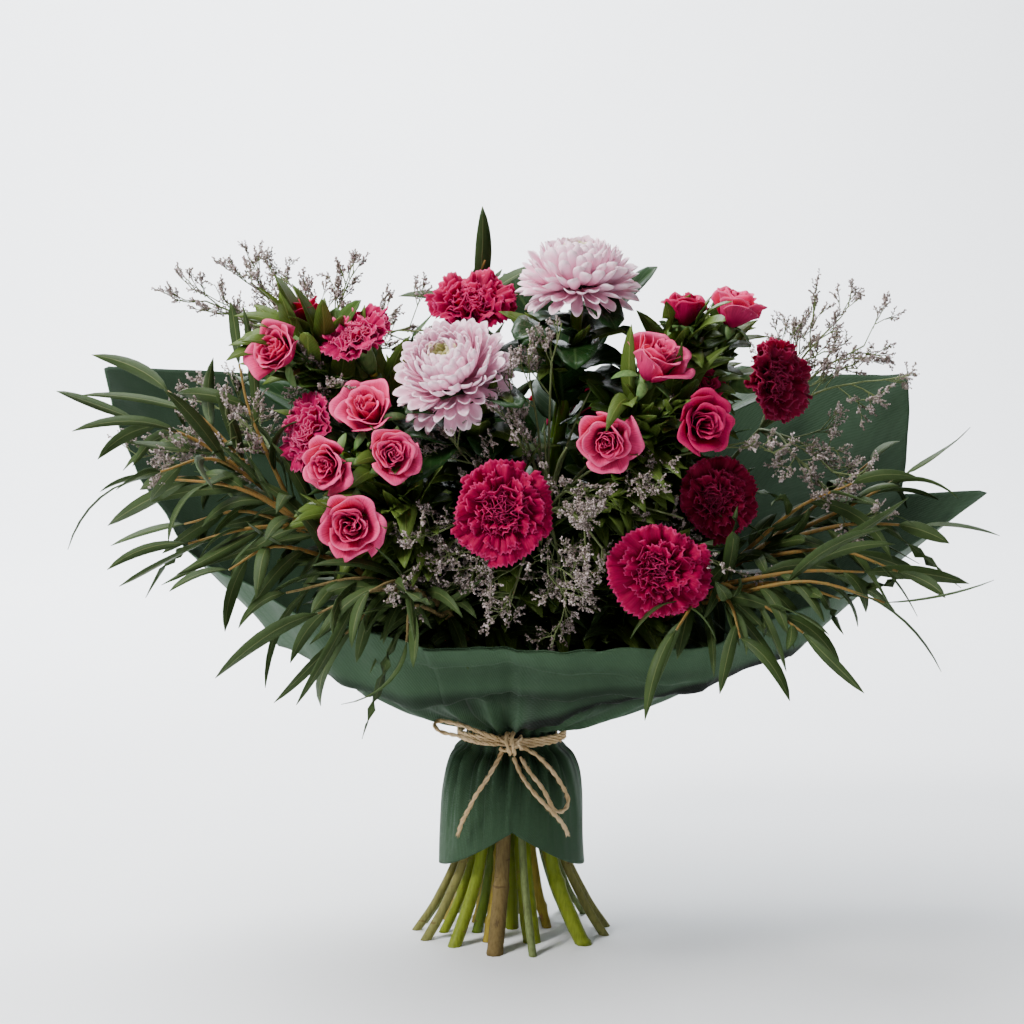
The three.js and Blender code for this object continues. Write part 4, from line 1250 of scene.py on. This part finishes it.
# Folds pressed across the front of the collar: height at the front, rise a degree, the angles
# between which each runs, and how far it stands out.
FOLDS = [(0.171, 0.00012, -62, 50, 0.009), (0.138, 0.00085, -4, 80, 0.015),
         (0.19, -0.0001, -34, 56, 0.004), (0.15, -0.0006, -84, -8, 0.008)]


def overs(angle, z):
    """Each fold that crosses this angle: the height over its line, its ends' fade and its depth."""
    for high, rise, first, last, deep in FOLDS:
        ends = max(min((angle - first) / 14, (last - angle) / 14, 1), 0)
        if ends:
            wander = 0.005 * noise.noise(Vector((angle * 0.05, high * 50, 0)))
            yield z - high - rise * angle - wander, ends, deep


def painted_fold_shade(angle, z):
    """How much painted shade a spot gets: how deep in the shade of a fold, or between the gathers at the
    waist, it lies.
    """
    shade = max([ends * deep / 0.013 * math.exp(-((over + 0.006) / (0.011 if over < -0.006 else 0.0045)) ** 2)
                 for over, ends, deep in overs(angle, z)], default=0)
    turn = math.radians(angle)
    ring = Vector((math.cos(turn), math.sin(turn), 0))
    wander = noise.noise(ring * 2 + Vector((0, 0, z * 9))) * 1.6
    valley = abs(math.sin(GATHERS * turn + wander)) ** 2
    near = math.exp(-(abs(z - TIE_Z) / 0.026) ** 2)
    return min(shade + 0.75 * valley * near, 1)


def crumple(angle, z):
    """How far the gathered sheet stands off its smooth shape."""
    turn = math.radians(angle)
    ring = Vector((math.cos(turn), math.sin(turn), 0))
    off = z - TIE_Z
    wander = noise.noise(ring * 2 + Vector((0, 0, z * 9))) * 1.6
    fold = 1 - abs(math.sin(GATHERS * turn + wander))
    small = 1 - abs(math.sin(SMALL_GATHERS * turn + 2 * wander))
    if off < 0:
        away = min(-off / 0.012, 1) * math.exp(-max(-off - 0.012, 0) / 0.022)
        depth = 0.8 + 1.5 * noise.noise(ring * 2.2 + Vector((5, 0, z * 14)))
        gathered = away * depth * (0.0045 * fold ** 2 + 0.003 * small ** 2 - 0.0024)
        return gathered + 0.0014 * noise.noise(ring * 3 + Vector((0, 0, z * 25)))
    away = min(off / 0.014, 1) * math.exp(-max(off - 0.014, 0) / 0.05)
    billow = noise.noise(ring * 2.3 + Vector((0, 0, z * 7))) * 0.006 * min(off / 0.08, 1)
    ridge = 1 - abs(noise.noise(ring * 4 + Vector((3, 0, z * 14)))) * 4
    crease = ridge * 0.0012 * min(off / 0.05, 1)
    laps = 0
    for over, ends, deep in overs(angle, z):
        step = min(max(over / 0.005 + 0.5, 0), 1)
        laps += deep * ends * step * step * (3 - 2 * step) * math.exp(-max(over, 0) / 0.02)
        laps -= 0.35 * deep * ends * math.exp(-((over + 0.006) / 0.006) ** 2)
    return away * (0.004 * fold + 0.0014 * small - 0.002) + billow + crease + laps


def wrap_skin(name, share, shine):
    """Green wrap pressed with a fine lattice, with painted shade in its folds and gathers; share scales its
    colours, and a low share makes a darker copy that paints shade.
    """
    paper = Shader(name, roughness=0.65)
    paper.surface.inputs["Specular IOR Level"].default_value = shine
    spot = paper.place((3900, 2700, 3900))
    east, north, high = (paper.split(spot, axis) for axis in range(3))
    first = paper.node("ShaderNodeMath", {"operation": "SINE"}, {0: east + north + high})
    second = paper.node("ShaderNodeMath", {"operation": "SINE"}, {0: east + north - high})
    fibre = paper.noise(paper.place(), 500, 4)
    cloud = paper.noise(paper.place(), 22, 4)
    # painted shade: the fold and gather shade stored on each sheet, which darkens the paper
    depth = paper.node("ShaderNodeAttribute", {"attribute_name": "painted_fold_shade"}, out="Fac")
    paper.bump(first * 0.2 + second * 0.2 + fibre * 0.6, 0.45, 0.0005)
    dark, mid, light, bead = ([c * share for c in colour] for colour in (
        (0.012, 0.024, 0.011), (0.028, 0.058, 0.029), (0.042, 0.085, 0.043), (0.075, 0.14, 0.08)))
    green = paper.mix(fibre * 0.35, paper.mix(cloud, mid, light), dark)
    green = paper.mix(paper.between(first * second, 0.2, 1) * 0.27, green, bead)
    # where that painted shade is full, the paper is mixed almost to black
    return paper.paint(paper.mix(depth * 0.97, green, [c * 0.1 for c in dark]))


WRAP_GREEN = wrap_skin("wrap_green", 1, 0.12)
# The inner face is the same green at 0.42 of its brightness: painted shade for the inside of the collar.
WRAP_INNER_SHADED = wrap_skin("wrap_inner_painted_shade", 0.42, 0.03)

for side, start, stop in (("left", -202.5, 22.5), ("right", -22.5, 202.5)):
    columns, rows = 170, 130
    profiles = [wrap_line(start + (stop - start) * k / columns, rows + 1) for k in range(columns + 1)]
    form = Form()

    def place(u, t):
        column, row = round((u + 1) / 2 * columns), round(t * rows)
        angle = start + (stop - start) * column / columns
        profile = profiles[column]
        r, z = profile[row]
        back, ahead = profile[max(row - 1, 0)], profile[min(row + 1, rows)]
        run = Vector((ahead[0] - back[0], ahead[1] - back[1])).normalized()
        lift = NEST * (stop - angle) / (stop - start) + SHEET_T / 2 + crumple(angle, z)
        r, z = r + run.y * lift, z - run.x * lift
        turn = math.radians(angle)
        return Vector((r * math.sin(turn), -r * math.cos(turn), z))

    petal(form, columns, rows, place)
    sheet = finished(f"wrap_{side}", form, WRAP_GREEN, WRAP_INNER_SHADED, thick=SHEET_T)
    # the inner face of each sheet takes the painted-shade copy of the green
    sheet.modifiers["thickness"].material_offset = 1
    # each spot's painted shade in the folds and between the gathers, stored on the sheet for its colour
    shades = [painted_fold_shade(math.degrees(math.atan2(spot.x, -spot.y)), spot.z) for spot in form.spots]
    sheet.data.attributes.new("painted_fold_shade", "FLOAT", "POINT").data.foreach_set("value", shades)
    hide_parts(f"wrap_sheet_{side}")
    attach(sheet, "root")


# ------------------------------------------------------------------ the twine
# Two-ply jute: three turns round the waist, a knot, two loops and two frayed tails.

TWINE_D = 0.0027
TWIST = 4.4 * TWINE_D  # the length in which a ply goes once round the other
PLY_OUT, PLY_THICK = 0.2, 0.31  # how far off the middle a ply lies, and its radius, in diameters
jute = Shader("jute", roughness=0.9)
strand = jute.noise(jute.place(), 900, 4, 0.7)
patch = jute.noise(jute.place(), 60, 3)
jute.bump(strand, 0.6, 0.0006)
tan = jute.mix(strand, (0.3, 0.18, 0.07), (0.74, 0.54, 0.3))
JUTE = jute.paint(jute.mix(jute.between(patch, 0.4, 0.7) * 0.45, tan, (0.85, 0.68, 0.44)))


def laid_twine(name, points, rng, frayed=False, hairs=1100):
    """Two plies twisted round a path, with loose fibres; returns the mesh and the path."""
    rough = smooth_line(points, 60)
    length = sum((b - a).length for a, b in zip(rough, rough[1:]))
    path = smooth_line(points, max(int(length / 0.0009), 24))
    canes = Canes(name, 1)
    side = (path[1] - path[0]).orthogonal().normalized()
    plies = [[], []]
    run = 0
    sides = []
    for k, point in enumerate(path):
        heading = (path[min(k + 1, len(path) - 1)] - path[max(k - 1, 0)]).normalized()
        side = (side - heading * side.dot(heading)).normalized()
        sides.append((heading, side))
        run += (point - path[k - 1]).length if k else 0
        turn = run / TWIST * 2 * math.pi
        arm = side * math.cos(turn) + heading.cross(side) * math.sin(turn)
        for ply, sign in zip(plies, (1, -1)):
            ply.append(point + arm * sign * TWINE_D * PLY_OUT)
    for ply in plies:
        uneven = [0.05 * noise.noise(Vector((k * 0.11, 0, 3))) for k in range(len(ply))]
        canes.add(ply, [TWINE_D * (PLY_THICK + more) for more in uneven])
    for _ in range(int(hairs * length)):
        k = rng.randrange(1, len(path) - 1)
        heading, side = sides[k]
        turn = rng.uniform(0, ANY_TURN)
        arm = side * math.cos(turn) + heading.cross(side) * math.sin(turn)
        root = path[k] + arm * TWINE_D * 0.4
        way = (heading * rng.choice((-1, 1)) + arm * rng.uniform(0.15, 0.7)).normalized()
        long = rng.uniform(0.001, 0.0022)
        hair = [root, root + way * long * 0.5 + arm * 0.0002, root + way * long]
        canes.add(hair, [0.00007, 0.00006, 0.00004])
    if frayed:
        heading, side = sides[-1]
        for _ in range(26):
            turn = rng.uniform(0, ANY_TURN)
            arm = side * math.cos(turn) + heading.cross(side) * math.sin(turn)
            root = path[-1] + arm * TWINE_D * rng.uniform(0, 0.35) - heading * 0.001
            long = rng.uniform(0.0015, 0.003)
            half, tip = root + heading * long * 0.6, root + heading * long
            hair = [root, half + arm * long * 0.1, tip + arm * long * rng.uniform(0.1, 0.4)]
            canes.add(hair, [0.00011, 0.0001, 0.00006])
    return canes.mesh(), path


# Each loop and tail: its far end, and its route in millimetres.
TWINE_ENDS = {
    "twine_loop_left": ("object", [
        (-9, -36, 128), (-18, -43, 132.5), (-29, -48, 138), (-40, -51, 141.5), (-44, -53.9, 141.6),
        (-45, -58.6, 140.3), (-42.4, -62.3, 138.2), (-37.7, -62.8, 136.6), (-31, -58, 134),
        (-20, -49.5, 128.5), (-9, -36.5, 124)]),
    "twine_loop_right": ("object", [
        (7, -36, 122), (14.5, -40.5, 118.5), (23, -41.5, 110), (29, -40, 101), (33, -38, 92.5),
        (32.8, -39.5, 87.6), (29.8, -42.6, 84.9), (25.7, -45.6, 85.9), (23, -46.6, 90.1),
        (18, -47.5, 100), (11, -47.2, 109), (5, -42, 117.5)]),
    "twine_tail_left": ("bare", [
        (-6, -38, 119.5), (-10, -43, 113), (-15, -46, 105), (-21, -46, 96), (-26, -44, 86),
        (-30, -41, 77), (-32, -39, 70)]),
    "twine_tail_right": ("bare", [
        (1, -41, 117), (5, -47, 109), (11, -52, 101), (18, -53, 93), (25, -50, 85),
        (30, -46, 78), (33, -43, 71)]),
}
for seed, (cord, (end, points)) in enumerate(TWINE_ENDS.items()):
    route = [[c / 1000 for c in point] for point in points]
    mesh, path = laid_twine(cord, route, random.Random(330 + seed), end == "bare")
    piece = show(cord + "_laid", mesh, JUTE)
    length = sum((b - a).length for a, b in zip(path, path[1:]))
    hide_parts(cord)
    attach(piece, "root")
    tuple(path[0])
    [tuple(point) for point in path]

BAND_R, TURNS, STEPS = 0.0307, 3, 24  # the band's radius, its turns and the points of each
band = []
for k in range(TURNS * STEPS + 1):
    turn = k / STEPS * 2 * math.pi
    wander = noise.noise(Vector((math.cos(turn) * 2, math.sin(turn) * 2, k * 0.04)))
    r = BAND_R + TWINE_D * 0.52 + 0.0003 * wander
    z = TIE_Z + TWINE_D * (k / STEPS - TURNS / 2) * (TURNS - 1) / TURNS
    band.append((r * math.sin(turn), -r * math.cos(turn), z + 0.0004 * math.sin(3 * turn + k * 0.02)))
mesh, _ = laid_twine("band", band, random.Random(340), hairs=700)
piece = show("twine_band_laid", mesh, JUTE)
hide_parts("twine_band")
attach(piece, "root")

KNOT = [  # the passes of the knot, in millimetres
    [(-7, -36.5, 126.5), (-5, -40.5, 127.5), (0, -42.6, 127), (4, -41, 124), (6, -37, 121)],
    [(-7, -36.5, 121.5), (-4, -41, 121.5), (1, -43, 124), (4, -41.5, 127.5), (5.5, -37, 129)],
    [(-2, -35.5, 130), (-3, -40, 131), (-3.2, -43.5, 127), (-2, -44, 122.5), (-1, -40, 119), (-1, -36, 119)],
    [(1, -36, 130.5), (0.5, -40.5, 131), (0, -44, 127), (1, -43.6, 122), (1.5, -39.5, 118.5), (1, -36, 119)],
]
parts = bmesh.new()
for k, points in enumerate(KNOT):
    route = [[c / 1000 for c in point] for point in points]
    mesh, _ = laid_twine("knot", route, random.Random(350 + k), hairs=500)
    parts.from_mesh(mesh)
mesh = bpy.data.meshes.new("knot")
parts.to_mesh(mesh)
parts.free()
piece = show("twine_knot_laid", mesh, JUTE)
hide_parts("twine_knot")
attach(piece, "root")

# Under the wrap, a turn of flat tie holds the stems themselves.
TIE_R, TIE_HIGH = 0.0271, 0.005
tie = Form()


def tie_spot(u, t):
    turn = u * math.pi
    return Vector((TIE_R * math.sin(turn), -TIE_R * math.cos(turn), TIE_Z - TIE_HIGH / 2 + TIE_HIGH * t))


petal(tie, 72, 2, tie_spot)
piece = finished("inner_tie_band", tie, JUTE, thick=0.0008)
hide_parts("inner_tie")
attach(piece, "root")
